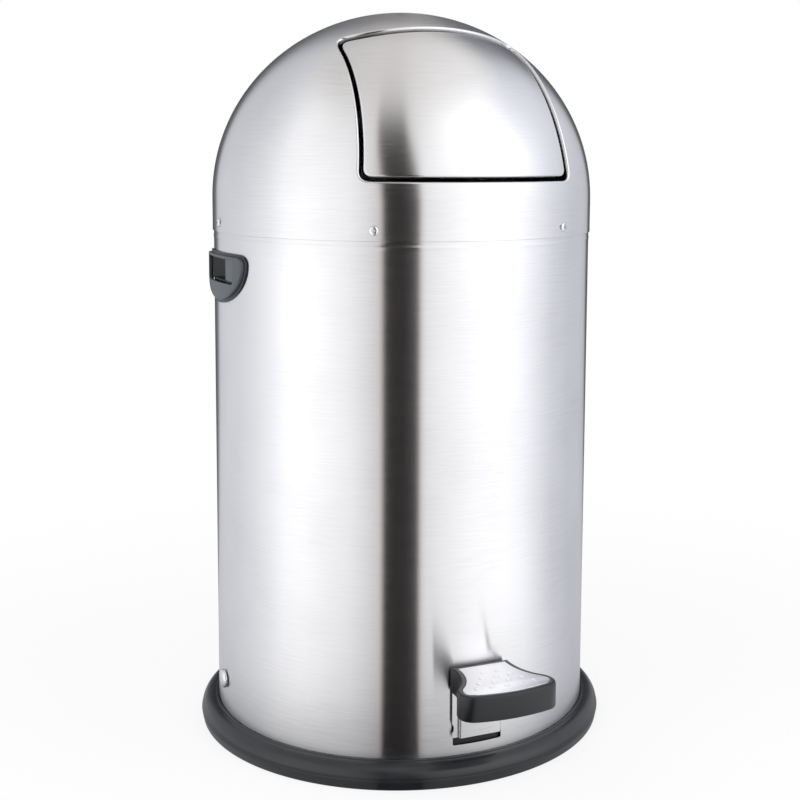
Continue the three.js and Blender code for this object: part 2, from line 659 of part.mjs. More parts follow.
// A wedge that spreads from near the dome's centre through an outline on its face, so that it
// cuts the sheet square.
function frontWedge(shape) {
  const points = shape.extractPoints(4).shape;
  if (points[0].distanceTo(points.at(-1)) < 1e-6) points.pop();
  const count = points.length;
  const position = [];
  for (const reach of [0.5, 1.6]) {
    for (const { x, y: z } of points) {
      const depth = 1 - (x / DOME_R) ** 2 - (z / DOME_RISE) ** 2;
      position.push(reach * x, -reach * DOME_R * Math.sqrt(depth), reach * z);
    }
  }
  const index = [];
  for (const [a, b, c] of THREE.ShapeUtils.triangulateShape(points, [])) {
    index.push(a, b, c, count + c, count + b, count + a);
  }
  for (let i = 0; i < count; i++) {
    const next = (i + 1) % count;
    index.push(i, count + next, next, i, count + i, count + next);
  }
  const geometry = new THREE.BufferGeometry();
  geometry.setAttribute('position', new THREE.Float32BufferAttribute(position, 3));
  return geometry.setIndex(index);
}

const SCREW_ANGLES = [-60, 0, 60, 120, 180, 240];

function screwHoles() {
  return SCREW_ANGLES.map((angle) => barX(
    SCREW_SHANK_R + SEAT_GAP, BRACKET_X - 9, DOME_R + 9, 0, aboveCentre(SCREW_Z), 8,
  ).rotateZ(rad(angle)));
}

function domeShell() {
  const low = aboveCentre(DOME_EDGE_Z);
  const opening = frontWedge(frontOutline(0, 0, 0, OPENING_CORNER));
  const skin = cut(domeForm(0, low), domeForm(SHEET, low - 9), opening, ...screwHoles());
  return piece('dome_shell', skin, STEEL);
}

// Moulded collar inside the dome's skirt: its spigot drops into the drum.
function domeCollar() {
  const [low, step, high] = [COLLAR_LOW_Z, COLLAR_STEP_Z, COLLAR_HIGH_Z].map(aboveCentre);
  const profile = [
    [COLLAR_INNER_R, low], [COLLAR_SPIGOT_R - 1.5, low], [COLLAR_SPIGOT_R, low + 4],
    [COLLAR_SPIGOT_R, step], [COLLAR_FLANGE_R, step], [COLLAR_FLANGE_R, high],
    [COLLAR_INNER_R, high],
  ];
  return piece('dome_collar', cut(revolveRing(profile), ...screwHoles()), GREY_PLASTIC);
}

// Pan head screw. The two at the sides are longer and also hold the brackets.
function domeScrew(name, angle) {
  const length = angle % 180 === 0 ? 9.6 : 5.4;
  const profile = [
    [0, -length], [SCREW_SHANK_R, -length], [SCREW_SHANK_R, 0], [SCREW_HEAD_R, 0],
    [SCREW_HEAD_R, 0.9], [SCREW_HEAD_R * 0.75, 1.9], [0, 2.3],
  ];
  const screw = piece(name, revolve(profile, 12), BRIGHT_STEEL);
  screw.rotation.y = Math.PI / 2;
  screw.position.set(DOME_R + SEAT_GAP, 0, aboveCentre(SCREW_Z));
  return turned(screw, angle);
}

// Steel plate inside the collar that carries the flap's pivot.
function pivotBracket(name, side) {
  const low = aboveCentre(COLLAR_LOW_Z) + 10;
  const plate = new THREE.Shape();
  plate.moveTo(FLAP_PIVOT_Y - 11, FLAP_PIVOT_Z);
  plate.lineTo(FLAP_PIVOT_Y - 11, low + 4);
  plate.lineTo(FLAP_PIVOT_Y - 7, low);
  plate.lineTo(FLAP_PIVOT_Y + 13, low);
  plate.lineTo(FLAP_PIVOT_Y + 17, low + 4);
  plate.absarc(FLAP_PIVOT_Y, FLAP_PIVOT_Z, 11, 0, Math.PI, false);
  const x = side > 0 ? BRACKET_X : -BRACKET_X - BRACKET_T;
  const reach = [side * BRACKET_X - 9, side * BRACKET_X + 9];
  const pivot = barX(PIN_R + SEAT_GAP, ...reach, FLAP_PIVOT_Y, FLAP_PIVOT_Z);
  const screw = barX(SCREW_SHANK_R + SEAT_GAP, ...reach, 0, aboveCentre(SCREW_Z));
  return piece(name, cut(prismX(plate, x, x + BRACKET_T, 4), pivot, screw), ZINC);
}

// Headed pin: the head holds the flap's arm from inside and the shank ends in the bracket.
function pivotPin(name, side) {
  const shank = barX(PIN_R, ARM_X - 3, BRACKET_X + BRACKET_T, 0, 0, 12);
  const head = barX(PIN_R + 2.5, ARM_X - 3, ARM_X - SEAT_GAP, 0, 0, 12);
  const pin = piece(name, join(shank, head), BRIGHT_STEEL);
  pin.rotation.z = side > 0 ? 0 : Math.PI;
  pin.position.set(0, FLAP_PIVOT_Y, FLAP_PIVOT_Z);
  return pin;
}

function pinSpacer(name, side) {
  const [low, high] = [ARM_X + ARM_T + SEAT_GAP, BRACKET_X - SEAT_GAP];
  const form = cut(barX(4.8, low, high), barX(PIN_R + SEAT_GAP, low - 1, high + 1));
  const spacer = piece(name, form, WHITE_PLASTIC);
  spacer.rotation.z = side > 0 ? 0 : Math.PI;
  spacer.position.set(0, FLAP_PIVOT_Y, FLAP_PIVOT_Z);
  return spacer;
}

// ---------------------------------------------------------------- flap

// The flap's pieces are placed from its pivot.
const fromPivot = (geometry) => geometry.translate(0, -FLAP_PIVOT_Y, -FLAP_PIVOT_Z);

// Curved steel flap: a patch of the dome's form set under its face, with a turned-in hem.
function flapShell() {
  const gaps = [FLAP_GAP_SIDE, FLAP_GAP_LOW, FLAP_GAP_TOP];
  const inside = gaps.map((gap) => gap + FLAP_SHEET + 0.2);
  const low = 0;
  const patch = meet(domeForm(FLAP_RECESS, low), frontWedge(frontOutline(...gaps, OPENING_CORNER)));
  const hollow = meet(
    domeForm(FLAP_RECESS + FLAP_SHEET, low),
    frontWedge(frontOutline(...inside, OPENING_CORNER - 1)));
  const shell = piece('flap_shell', cut(patch, domeForm(FLAP_RECESS + FLAP_HEM, low - 1), hollow), STEEL);
  shell.position.set(0, -FLAP_PIVOT_Y, -FLAP_PIVOT_Z);
  return shell;
}

// Arm of bent strip: an upright ear on the pivot, a leg that leans in under the flap, and a foot
// on the flap's inner face. The right-hand arm's ear also carries the crank pin.
function flapArm(name, side) {
  const halfW = 11;
  const earReach = 34;
  const mid = ARM_X + ARM_T / 2;
  const knee = [97, 138];
  const ankle = [84, 156.5];
  const toe = [64, 165.4];
  const leg = bentStrip([[side * mid, -26], [side * mid, -earReach],
    ...[knee, ankle, toe].map(([x, along]) => [side * x, -along])], ARM_T);
  const ear = new THREE.Shape();
  ear.absarc(0, 0, halfW, -Math.PI / 2, Math.PI / 2, false);
  ear.lineTo(-earReach, halfW);
  ear.lineTo(-earReach, -halfW);
  const inner = side > 0 ? ARM_X : -ARM_X - ARM_T;
  const tilt = (geometry) => geometry.rotateX(-rad(ARM_TILT));
  const parts = [
    tilt(prismZ(leg, -halfW, halfW)),
    tilt(prismX(ear, inner, inner + ARM_T)),
  ];
  const bores = [barX(PIN_R + SEAT_GAP, inner - 9, inner + 9)];
  if (side > 0) {
    parts.push(prismX(roundedBar([0, 0], [CRANK_Y, CRANK_Z], halfW, 5), inner, inner + ARM_T));
    bores.push(barX(2 + SEAT_GAP, inner - 9, inner + 9, CRANK_Y, CRANK_Z));
  }
  const underFlap = fromPivot(domeForm(FLAP_RECESS + FLAP_SHEET + SEAT_GAP, -60));
  return piece(name, meet(cut(join(...parts), ...bores), underFlap), ZINC);
}

// Riveted pin on the right-hand arm, which the lift rod pushes up.
function crankPin() {
  const outer = ARM_X + ARM_T + SEAT_GAP;
  const form = join(
    barX(PIN_R, outer, BRACKET_X - 2.5), barX(2, ARM_X - 1, outer + 1),
    barX(PIN_R + 0.5, ARM_X - 2, ARM_X - SEAT_GAP));
  const pin = piece('crank_pin', form, BRIGHT_STEEL);
  pin.position.set(0, CRANK_Y, CRANK_Z);
  return pin;
}

// ---------------------------------------------------------------- bucket

// Tapered inner bucket with a rolled rim.
function innerBucket() {
  const heel = 5;
  const rollR = 2.4;
  const rimZ = BUCKET_TOP_Z - rollR;
  const roll = new THREE.EllipseCurve(
    BUCKET_TOP_R + rollR - BUCKET_T, rimZ, rollR, rollR, -Math.PI / 2, Math.PI);
  const wallR = (r) => r - BUCKET_T;
  const profile = [
    [0, BUCKET_LOW_Z], [BUCKET_LOW_R - heel, BUCKET_LOW_Z], [BUCKET_LOW_R, BUCKET_LOW_Z + heel],
    [BUCKET_TOP_R, rimZ - rollR], ...roll.getPoints(3).map(({ x, y }) => [x, y]),
    [wallR(BUCKET_LOW_R), BUCKET_LOW_Z + heel], [wallR(BUCKET_LOW_R) - heel, BUCKET_LOW_Z + BUCKET_T],
    [0, BUCKET_LOW_Z + BUCKET_T],
  ];
  return piece('inner_bucket', revolve(profile, 40), GALVANISED);
}

// Ear riveted under the rim, bent out to hold the bail's end.
function bucketEar(name, side) {
  const plateY = 150.3;
  const footY = 145.7;
  const strip = bentStrip([[footY, 428], [footY, 440], [plateY, 445], [plateY, 464]], 1.4);
  const plate = prismX(strip, -9, 9);
  const hole = new THREE.CylinderGeometry(2.8, 2.8, 30, 12).translate(0, plateY, BAIL_Z);
  return turned(piece(name, cut(plate, hole), ZINC), side > 0 ? 0 : 180);
}

// Wire bail, drawn level from its pivot line: half a circle with its ends turned in.
function bailHandle() {
  const arc = new LevelArc(BAIL_R, rad(90), rad(270), 0);
  const ends = [-1, 1].map((side) => new THREE.CylinderGeometry(
    BAIL_WIRE_R, BAIL_WIRE_R, 8, 8).translate(0, side * (BAIL_R - 2.6), 0));
  const bends = [-1, 1].map((side) => new THREE.SphereGeometry(BAIL_WIRE_R * 1.2, 8, 6)
    .translate(0, side * BAIL_R, 0));
  return piece('bail_handle', join(wire(arc, BAIL_WIRE_R, 24), ...ends, ...bends), ZINC);
}

function bailGrip() {
  const [from, to] = [rad(164), rad(196)];
  const sleeve = wire(new LevelArc(BAIL_R, from, to, 0), 4.6, 6, 10);
  const bore = wire(new LevelArc(BAIL_R, from - 0.02, to + 0.02, 0), BAIL_WIRE_R + SEAT_GAP, 6, 8);
  return piece('bail_grip', cut(sleeve, bore), BLACK_PLASTIC);
}

function bail() {
  const group = assembly(new THREE.Vector3(0, 0, BAIL_Z), bailHandle(), bailGrip());
  group.rotation.y = -rad(BAIL_SAG);
  return group;
}

// ---------------------------------------------------------------- the whole object

const legs = { front_right: -30, rear: 90, front_left: 210 };
const sides = { left: -1, right: 1 };
const onBothSides = (stem, make) => Object.entries(sides).map(
  ([word, side]) => make(`${stem}_${word}`, side));

const axis = new THREE.Vector3(0, 0, 0);
const body = assembly(
  axis, baseRing(), basePan(), bodyShell(), axle(),
  onBothSides('axle_cap', axleCap), onBothSides('axle_clip', axleClip),
  sideGrip('grip_right', 0), sideGrip('grip_left', 180), bucketSeat(),
  Object.entries(legs).map(([word, angle]) => seatLeg(`seat_leg_${word}`, angle)),
  rodGuide('rod_guide_lower', 120), rodGuide('rod_guide_upper', 430));
const pedal = assembly(
  new THREE.Vector3(0, 0, AXLE_Z),
  pedalLever(), pivotSleeve(), liftingArm(), pedalPad(), treadPlate());
const rod = assembly(axis, liftRod(), rodFoot(), rodTip());
const dome = assembly(
  new THREE.Vector3(0, 0, DOME_CENTRE_Z), domeShell(), domeCollar(),
  SCREW_ANGLES.map((angle, i) => domeScrew(`dome_screw_${i + 1}`, angle)),
  onBothSides('pivot_bracket', pivotBracket), onBothSides('pivot_pin', pivotPin),
  onBothSides('pin_spacer', pinSpacer));
const flap = assembly(
  new THREE.Vector3(0, FLAP_PIVOT_Y, DOME_CENTRE_Z + FLAP_PIVOT_Z),
  flapShell(), onBothSides('flap_arm', flapArm), crankPin());
const bucket = assembly(
  axis, innerBucket(), bucketEar('bucket_ear_rear', 1), bucketEar('bucket_ear_front', -1));

const receptacle = assembly(
  new THREE.Vector3(0, AXIS_Y, 0), body, pedal, rod, dome, flap, bucket, bail());

export default receptacle;
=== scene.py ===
import json
import math

import bmesh
import bpy
from mathutils import Matrix, Vector
from mathutils.geometry import delaunay_2d_cdt


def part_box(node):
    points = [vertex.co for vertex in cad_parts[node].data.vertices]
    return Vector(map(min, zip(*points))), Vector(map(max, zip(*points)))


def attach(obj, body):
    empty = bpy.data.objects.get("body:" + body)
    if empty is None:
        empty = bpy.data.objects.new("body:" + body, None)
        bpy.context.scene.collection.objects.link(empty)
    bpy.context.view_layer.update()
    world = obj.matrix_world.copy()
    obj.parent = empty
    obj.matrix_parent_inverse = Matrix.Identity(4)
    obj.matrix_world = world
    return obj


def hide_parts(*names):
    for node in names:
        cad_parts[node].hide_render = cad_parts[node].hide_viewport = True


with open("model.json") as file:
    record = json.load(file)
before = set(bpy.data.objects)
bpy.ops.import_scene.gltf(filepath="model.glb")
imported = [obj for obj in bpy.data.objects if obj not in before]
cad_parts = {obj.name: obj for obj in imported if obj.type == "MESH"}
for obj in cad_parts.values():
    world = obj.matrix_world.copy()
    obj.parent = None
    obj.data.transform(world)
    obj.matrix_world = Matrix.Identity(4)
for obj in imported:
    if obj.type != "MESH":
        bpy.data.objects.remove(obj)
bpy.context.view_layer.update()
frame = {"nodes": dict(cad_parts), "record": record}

# ------------------------------------------------------------------ sizes
# Millimetres. X and Y are measured from the drum's axis, Z from the floor.

MM = 0.001
TAU = 2 * math.pi


def node_box(name):
    """A solid's box in millimetres, as its low and its high corner."""
    low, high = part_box(name)
    return [v / MM for v in low], [v / MM for v in high]


drum_low, drum_high = node_box("body_shell")
AXIS_Y = (drum_low[1] + drum_high[1]) / 2  # the drum's axis in the frame
DRUM_R = (drum_high[0] - drum_low[0]) / 2
DRUM_LOW_Z, DRUM_TOP_Z = drum_low[2], drum_high[2]
SHEET = 1.0  # wall of the drum and of the dome
AROUND = 240  # steps round the drum

dome_low, dome_high = node_box("dome_shell")
DOME_R = (dome_high[0] - dome_low[0]) / 2
DOME_EDGE_Z = dome_low[2] - 0.5  # brought down until only a hairline shows over the drum
DOME_RISE = 179.0
DOME_CENTRE_Z = dome_high[2] - DOME_RISE
OPENING_HALF_W = 106.3  # at the height of the dome's centre
OPENING_TAPER = 0.095  # what each side loses per millimetre of height
OPENING_LOW_Z = 19.7  # above the dome's centre
OPENING_TOP_Z = 159.6  # the top edge, in its middle,
OPENING_TOP_BOW = 53.6  # and what it would fall by at the dome's sides
OPENING_CORNER = 10.0
LIP_R = 1.8  # the opening's edge is turned in over this radius
LIP_DEPTH = 2.5  # shallow, because the flap passes under it as it opens
FLAP_GAP_SIDE, FLAP_GAP_LOW, FLAP_GAP_TOP = 2.5, 4.2, 3.6  # air round the closed flap
FLAP_RECESS = 2.4  # depth of the flap's face under the dome's
FLAP_EDGE_R = 2.2
FLAP_HEM = 5.4  # depth of the flap's turned-in edge
FLAP_SHEET = 1.2
NET_STEP = 1.5  # degrees between the rings of the dome's net
NET_GAP = 0.35  # degrees kept free along an edge, so that no sliver forms

BEAD_Z, BEAD_RISE, BEAD_HALF_W = 484.8, 0.35, 1.6  # a shallow bead under the drum's edge
WALL_BACK = 0.15  # the wall is drawn in by this, which leaves room for the bead
FINE_FROM_Z = 475.0  # above this the drum's net is finer, for the bead
HOLE_CLEAR = 1.2  # kept free of net points round a hole, so that no sliver forms
SLOT_HALF_W, SLOT_LOW_Z, SLOT_HIGH_Z, SLOT_CORNER = 24.4, 31.8, 77.0, 1.5
AXLE_Z, AXLE_HOLE_R = 54.0, 4.5

RING_LIP_R, RING_CREASE_R, RING_FOOT_R, RING_INNER_R = 187.8, 202.3, 200.8, 176.0
RING_CREASE_Z, RING_TOP_Z, RING_LEDGE_Z, RING_SEAT_Z = 8.6, 22.4, 11.6, 6.0

GRIP_HALF_W, GRIP_MID_Z, GRIP_DROP, GRIP_TOP_Z = 58.0, 462.6, 38.5, 472.2
GRIP_CORNER = 14.0
GRIP_R = 190.0  # the crest of its face, from the drum's axis
GRIP_BACK_R = DRUM_R + 0.3
GRIP_RIM = 2.8  # width of the flange that shows round the face, drawn black as painted shade
GRIP_EDGE_H = 2.2  # how far the face stands proud at its lower edge
GRIP_SWELL_RISE = 24.0  # height over which the face swells to its crest
POCKET_LOW_Z, POCKET_HIGH_Z = 444.0, 467.3
POCKET_HALF_W, POCKET_BACK_HALF_W, POCKET_BACK_R = 41.0, 26.0, 163.0
POCKET_CORNER = 3.0
WINDOW_MARGIN = 4.0  # the drum's cut-out behind the grip is wider than the pocket by this

SCREW_COUNT, SCREW_Z, SCREW_HEAD_R, SCREW_HEAD_H = 6, 499.5, 4.3, 2.3
CAP_R, CAP_H, CAP_RIM_H = 9.0, 4.8, 0.9

PAD_TOP_Z, PAD_LOW_Z, PAD_BACK_Y, PAD_FRONT_Y = 107.0, 84.0, -186.6, -260.5
LEVER_HALF_W, LEVER_T, LEVER_FRONT_Y, LEVER_TOP_Z = 21.0, 1.5, -191.0, 74.0
LEVER_BEND_R = 2.2
BEAM_FRONT_Y, BEAM_BACK_Y, BEAM_DEEP = -188.3, 34.0, 13.0
EAR_HALF_W, EAR_TOP_Z, EAR_R = 22.0, 61.5, 11.0
TONGUE_Z, TONGUE_FRONT_Y, TONGUE_DEEP, BOOT_LOW_Z = 90.0, -240.0, 4.0, 41.0
WING_FRONT_Y, WING_BACK_Y, WING_HALF_W, WING_TOP_Z = -187.4, -186.4, 26.8, 88.0
NOTCH_Z, NOTCH_R, NOTCH_DEEP = 49.5, 4.2, 1.7  # a flat half-round in the wing's free edge

STUD_ROWS = ((-210, 2), (-221, 3), (-232, 4), (-243, 5))  # each row's Y and count
STUD_PITCH, STUD_R, STUD_H = 14.0, 2.8, 0.55
STUD_BOW = 0.08  # how far a stud moves back per millimetre from the middle


# ------------------------------------------------------------------ materials

def linear(code):
    """An sRGB hex colour as linear RGBA."""
    channels = [int(code[i:i + 2], 16) / 255 for i in (1, 3, 5)]
    return [c / 12.92 if c <= 0.04045 else ((c + 0.055) / 1.055) ** 2.4 for c in channels] + [1.0]


def add(tree, kind, values=None, **settings):
    """Adds a node. values fills its inputs: a socket is linked, anything else is set."""
    made = tree.nodes.new(kind)
    for name, value in settings.items():
        setattr(made, name, value)
    for key, value in (values or {}).items():
        if isinstance(value, bpy.types.NodeSocket):
            tree.links.new(value, made.inputs[key])
        else:
            made.inputs[key].default_value = value
    return made


def ramp(tree, fac, *stops):
    """A colour ramp with stops of (place, grey or colour)."""
    made = add(tree, "ShaderNodeValToRGB", {0: fac})
    band = made.color_ramp
    while len(band.elements) < len(stops):
        band.elements.new(0.5)
    for element, (place, tone) in zip(band.elements, stops):
        element.position = place
        element.color = tone if isinstance(tone, list) else [tone] * 3 + [1.0]
    return made.outputs[0]


def dimmed(code, share):
    """A share of a colour's light."""
    return [c * share for c in linear(code)[:3]] + [1.0]


def blank_material(name):
    """A material whose tree is still empty, and the tree."""
    material = bpy.data.materials.new(name)
    material.use_nodes = True
    tree = material.node_tree
    tree.nodes.clear()
    return material, tree


def surface(tree, values):
    """Ends a material's tree in a Principled shader."""
    shader = add(tree, "ShaderNodeBsdfPrincipled", values)
    add(tree, "ShaderNodeOutputMaterial", {"Surface": shader.outputs[0]})
    return shader


def from_axis(tree):
    """Object coordinates, in metres from the drum's axis."""
    place = add(tree, "ShaderNodeTexCoord").outputs["Object"]
    return add(tree, "ShaderNodeMapping", {"Vector": place, "Location": (0, -AXIS_Y * MM, 0)}).outputs[0]


def brushed_stainless():
    """Stainless sheet, brushed round its axis: reflections stay sharp sideways and smear upwards,
    with faint level hairlines."""
    tone, gloss, bend = "#DCDCDE", 0.22, 0.03
    material, tree = blank_material("brushed_stainless_sheet")
    place = from_axis(tree)
    parts = add(tree, "ShaderNodeSeparateXYZ", {0: place})
    level = add(tree, "ShaderNodeVectorMath", {0: place, 1: (1, 1, 0)}, operation="MULTIPLY")
    radius = add(tree, "ShaderNodeVectorMath", {0: level.outputs[0]}, operation="LENGTH")
    along = add(tree, "ShaderNodeMath", {0: parts.outputs[2], 1: radius.outputs["Value"]},
                operation="SUBTRACT")
    # A real hairline is about 0.1 mm wide. These are 0.9 mm, so that they show.
    line_pitch, line_length = 0.9 * MM, 30 * MM
    lift = add(tree, "ShaderNodeCombineXYZ", {2: along.outputs[0]})
    stretch = add(tree, "ShaderNodeVectorMath", {0: lift.outputs[0], 1: (0, 0, 1 / line_pitch)},
                  operation="MULTIPLY")
    streaks_at = add(tree, "ShaderNodeVectorMath",
                     {0: level.outputs[0], 1: (1 / line_length, 1 / line_length, 0), 2: stretch.outputs[0]},
                     operation="MULTIPLY_ADD")
    streaks = add(tree, "ShaderNodeTexNoise",
                  {"Vector": streaks_at.outputs[0], "Scale": 1.0, "Detail": 3.0, "Roughness": 0.6})
    clouds = add(tree, "ShaderNodeTexNoise", {"Vector": place, "Scale": 9.0, "Detail": 2.0})
    shade = add(tree, "ShaderNodeMath", {0: streaks.outputs[0], 1: 0.7, 2: clouds.outputs[0]},
                operation="MULTIPLY_ADD")
    base = ramp(tree, shade.outputs[0], (0.5, dimmed(tone, 0.88)), (1.0, linear(tone)))
    rough = ramp(tree, streaks.outputs[0], (0.2, gloss - 0.03), (0.8, gloss + 0.03))
    relief = add(tree, "ShaderNodeBump",
                 {"Strength": bend, "Distance": 0.15 * MM, "Height": streaks.outputs[0]})
    upward = add(tree, "ShaderNodeCombineXYZ", {2: 1.0})
    across = add(tree, "ShaderNodeVectorTransform", {0: upward.outputs[0]},
                 vector_type="VECTOR", convert_from="OBJECT", convert_to="WORLD")
    surface(tree, {"Base Color": base, "Metallic": 1.0, "Roughness": rough, "Anisotropic": 1.0,
                   "Normal": relief.outputs[0], "Tangent": across.outputs[0]})
    return material


def polished_steel(name, tone, low, high, grain=400.0, wear=0.9):
    """Bright plated or polished steel: small mirror-like highlights broken by a slight orange
    peel, more blurred the rougher it is."""
    material, tree = blank_material(name)
    place = from_axis(tree)
    peel = add(tree, "ShaderNodeTexNoise", {"Vector": place, "Scale": grain, "Detail": 2.0})
    cloud = add(tree, "ShaderNodeTexNoise", {"Vector": place, "Scale": 45.0, "Detail": 3.0})
    base = ramp(tree, cloud.outputs[0], (0.3, dimmed(tone, wear)), (0.7, linear(tone)))
    rough = ramp(tree, cloud.outputs[0], (0.3, low), (0.7, high))
    relief = add(tree, "ShaderNodeBump",
                 {"Strength": 0.08, "Distance": 0.1 * MM, "Height": peel.outputs[0]})
    surface(tree, {"Base Color": base, "Metallic": 1.0, "Roughness": rough, "Normal": relief.outputs[0]})
    return material


def galvanised_sheet():
    """Hot-dip zinc coated sheet: dull, with crystal spangles about 12 mm across."""
    material, tree = blank_material("galvanised_spangle_sheet")
    place = from_axis(tree)
    spangle = add(tree, "ShaderNodeTexVoronoi", {"Vector": place, "Scale": 1 / (12 * MM)})
    grey = add(tree, "ShaderNodeRGBToBW", {0: spangle.outputs["Color"]})
    fleck = add(tree, "ShaderNodeTexNoise", {"Vector": place, "Scale": 300.0, "Detail": 2.0})
    base = ramp(tree, grey.outputs[0], (0.1, linear("#A9ADAF")), (0.9, linear("#C3C7C9")))
    rough = ramp(tree, grey.outputs[0], (0.1, 0.38), (0.9, 0.55))
    relief = add(tree, "ShaderNodeBump",
                 {"Strength": 0.1, "Distance": 0.1 * MM, "Height": fleck.outputs[0]})
    surface(tree, {"Base Color": base, "Metallic": 1.0, "Roughness": rough, "Normal": relief.outputs[0]})
    return material


def moulded_plastic(name, tone, light_tone, rough, grain_mm=0.6, strength=0.25):
    """Injection moulded plastic with a fine spark-eroded grain: satin, with soft broad highlights.
    The real grain is near 0.1 mm and is drawn coarser, so that it shows."""
    material, tree = blank_material(name)
    place = add(tree, "ShaderNodeTexCoord").outputs["Object"]
    grain = add(tree, "ShaderNodeTexNoise", {"Vector": place, "Scale": 1 / (grain_mm * MM), "Detail": 2.0})
    cloud = add(tree, "ShaderNodeTexNoise", {"Vector": place, "Scale": 30.0, "Detail": 4.0})
    mixed = add(tree, "ShaderNodeMath", {0: grain.outputs[0], 1: 0.35, 2: cloud.outputs[0]},
                operation="MULTIPLY_ADD")
    base = ramp(tree, mixed.outputs[0], (0.5, linear(tone)), (0.95, linear(light_tone)))
    gloss = ramp(tree, cloud.outputs[0], (0.3, rough - 0.04), (0.7, rough + 0.04))
    relief = add(tree, "ShaderNodeBump",
                 {"Strength": strength, "Distance": 0.08 * MM, "Height": grain.outputs[0]})
    surface(tree, {"Base Color": base, "Roughness": gloss, "IOR": 1.49, "Normal": relief.outputs[0]})
    return material


STAINLESS = brushed_stainless()
# Screws, caps and pins: small clear mirror glints.
BRIGHT = polished_steel("bright_plated_steel", "#DCDDDF", 0.14, 0.24)
# The flap's arms and brackets: a greyer, duller shine.
ZINC = polished_steel("zinc_plated_strip", "#B4B8BB", 0.34, 0.46, 250.0)
GALVANISED = galvanised_sheet()
# The side grips: a mid charcoal with a satin sheen.
GREY_PP = moulded_plastic("charcoal_moulded_polypropylene", "#454B51", "#4F555B", 0.42)
# The base ring: nearly black, with a broad soft shine along its shoulder.
RING_PP = moulded_plastic("dark_charcoal_ring_polypropylene", "#1E2124", "#282B2F", 0.3)
# The foot pad: black with a slight blue cast. The same black is painted shade on the grips' flanges and in
# the pockets' liners.
BLACK_ABS_AND_SHADE = moulded_plastic("black_moulded_abs_and_painted_shade", "#0D0F14", "#15181E", 0.34)
# Bushes, guides and spacers: milky, with hardly any grain.
NYLON = moulded_plastic("natural_nylon", "#DEDDD6", "#E8E7E1", 0.45, 0.8, 0.12)
# The tread plate: almost white under a bright room, with no mirror in it.
TREAD = polished_steel("bright_tread_plate", "#EFEFF1", 0.3, 0.34, wear=0.98)


# ------------------------------------------------------------------ meshes

def piece(name, corners, faces, body, material, stands_for=(), normals=None, sharp=35):
    """A finished piece from corners in millimetres from the drum's axis. normals is one direction
    for each corner of each face, or None to smooth by angle."""
    mesh = placed_mesh(name, corners, faces)
    mesh.validate()
    return dressed(name, mesh, body, material, stands_for, normals, sharp)


def dressed(name, mesh, body, material, stands_for=(), normals=None, sharp=35):
    """A finished piece from a mesh: shaded, given its finish and set to ride on a body."""
    mesh.shade_smooth()
    if normals:
        mesh.normals_split_custom_set([n for face in normals for n in face])
    else:
        mesh.set_sharp_from_angle(angle=math.radians(sharp))
    mesh.materials.clear()
    mesh.materials.append(material)
    made = bpy.data.objects.new(name, mesh)
    bpy.context.scene.collection.objects.link(made)
    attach(made, body)
    if stands_for:
        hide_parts(*stands_for)
    return made


def lathe(profile, around=AROUND, closed=True):
    """Corners and faces of [radius, height] pairs turned round the axis. The profile runs
    anticlockwise, seen with the axis on its left, so that faces point out of the solid."""
    corners, faces, rings = [], [], []
    turns = [TAU * i / around for i in range(around)]
    for r, z in profile:
        if r < 1e-6:
            rings.append([len(corners)] * around)
            corners.append((0, 0, z))
            continue
        rings.append(list(range(len(corners), len(corners) + around)))
        corners += [(r * math.cos(a), r * math.sin(a), z) for a in turns]
    pairs = list(zip(rings, rings[1:] + rings[:1]))
    for low, high in pairs if closed else pairs[:-1]:
        for i in range(around):
            j = (i + 1) % around
            face = list(dict.fromkeys([low[i], low[j], high[j], high[i]]))
            if len(face) > 2:
                faces.append(face)
    return corners, faces


def quads(low, high):
    """Faces between two closed rows of corners with equal counts."""
    count = len(low)
    return [[low[i], low[(i + 1) % count], high[(i + 1) % count], high[i]] for i in range(count)]


def add_rows(corners, faces, start, rows):
    """Goes on from a closed row of corners through more rows. Gives back the last one."""
    previous = list(start)
    for row in rows:
        current = list(range(len(corners), len(corners) + len(previous)))
        corners += row
        faces += quads(previous, current)
        previous = current
    return previous


def placed_mesh(name, corners, faces):
    """A mesh from corners in millimetres from the drum's axis."""
    mesh = bpy.data.meshes.new(name)
    mesh.from_pydata([(x * MM, (y + AXIS_Y) * MM, z * MM) for x, y, z in corners], [], faces)
    return mesh


def arc(x, y, r, start, end, steps):
    """Points on part of a circle, from start to end in degrees."""
    turn = [math.radians(start + (end - start) * i / steps) for i in range(steps + 1)]
    return [(x + r * math.cos(a), y + r * math.sin(a)) for a in turn]


def inside(point, loop):
    """Whether a point lies inside a closed line."""
    x, y = point
    hit = False
    for (x0, y0), (x1, y1) in zip(loop, loop[1:] + loop[:1]):
        if (y0 > y) != (y1 > y) and x < x0 + (y - y0) * (x1 - x0) / (y1 - y0):
            hit = not hit
    return hit


def distance_to(point, loop):
    """Shortest distance from a point to a closed line."""
    p = Vector(point)
    best = 1e9
    for a, b in zip(loop, loop[1:] + loop[:1]):
        a, b = Vector(a), Vector(b)
        t = max(0.0, min(1.0, (p - a).dot(b - a) / max((b - a).length_squared, 1e-12)))
        best = min(best, (a.lerp(b, t) - p).length)
    return best


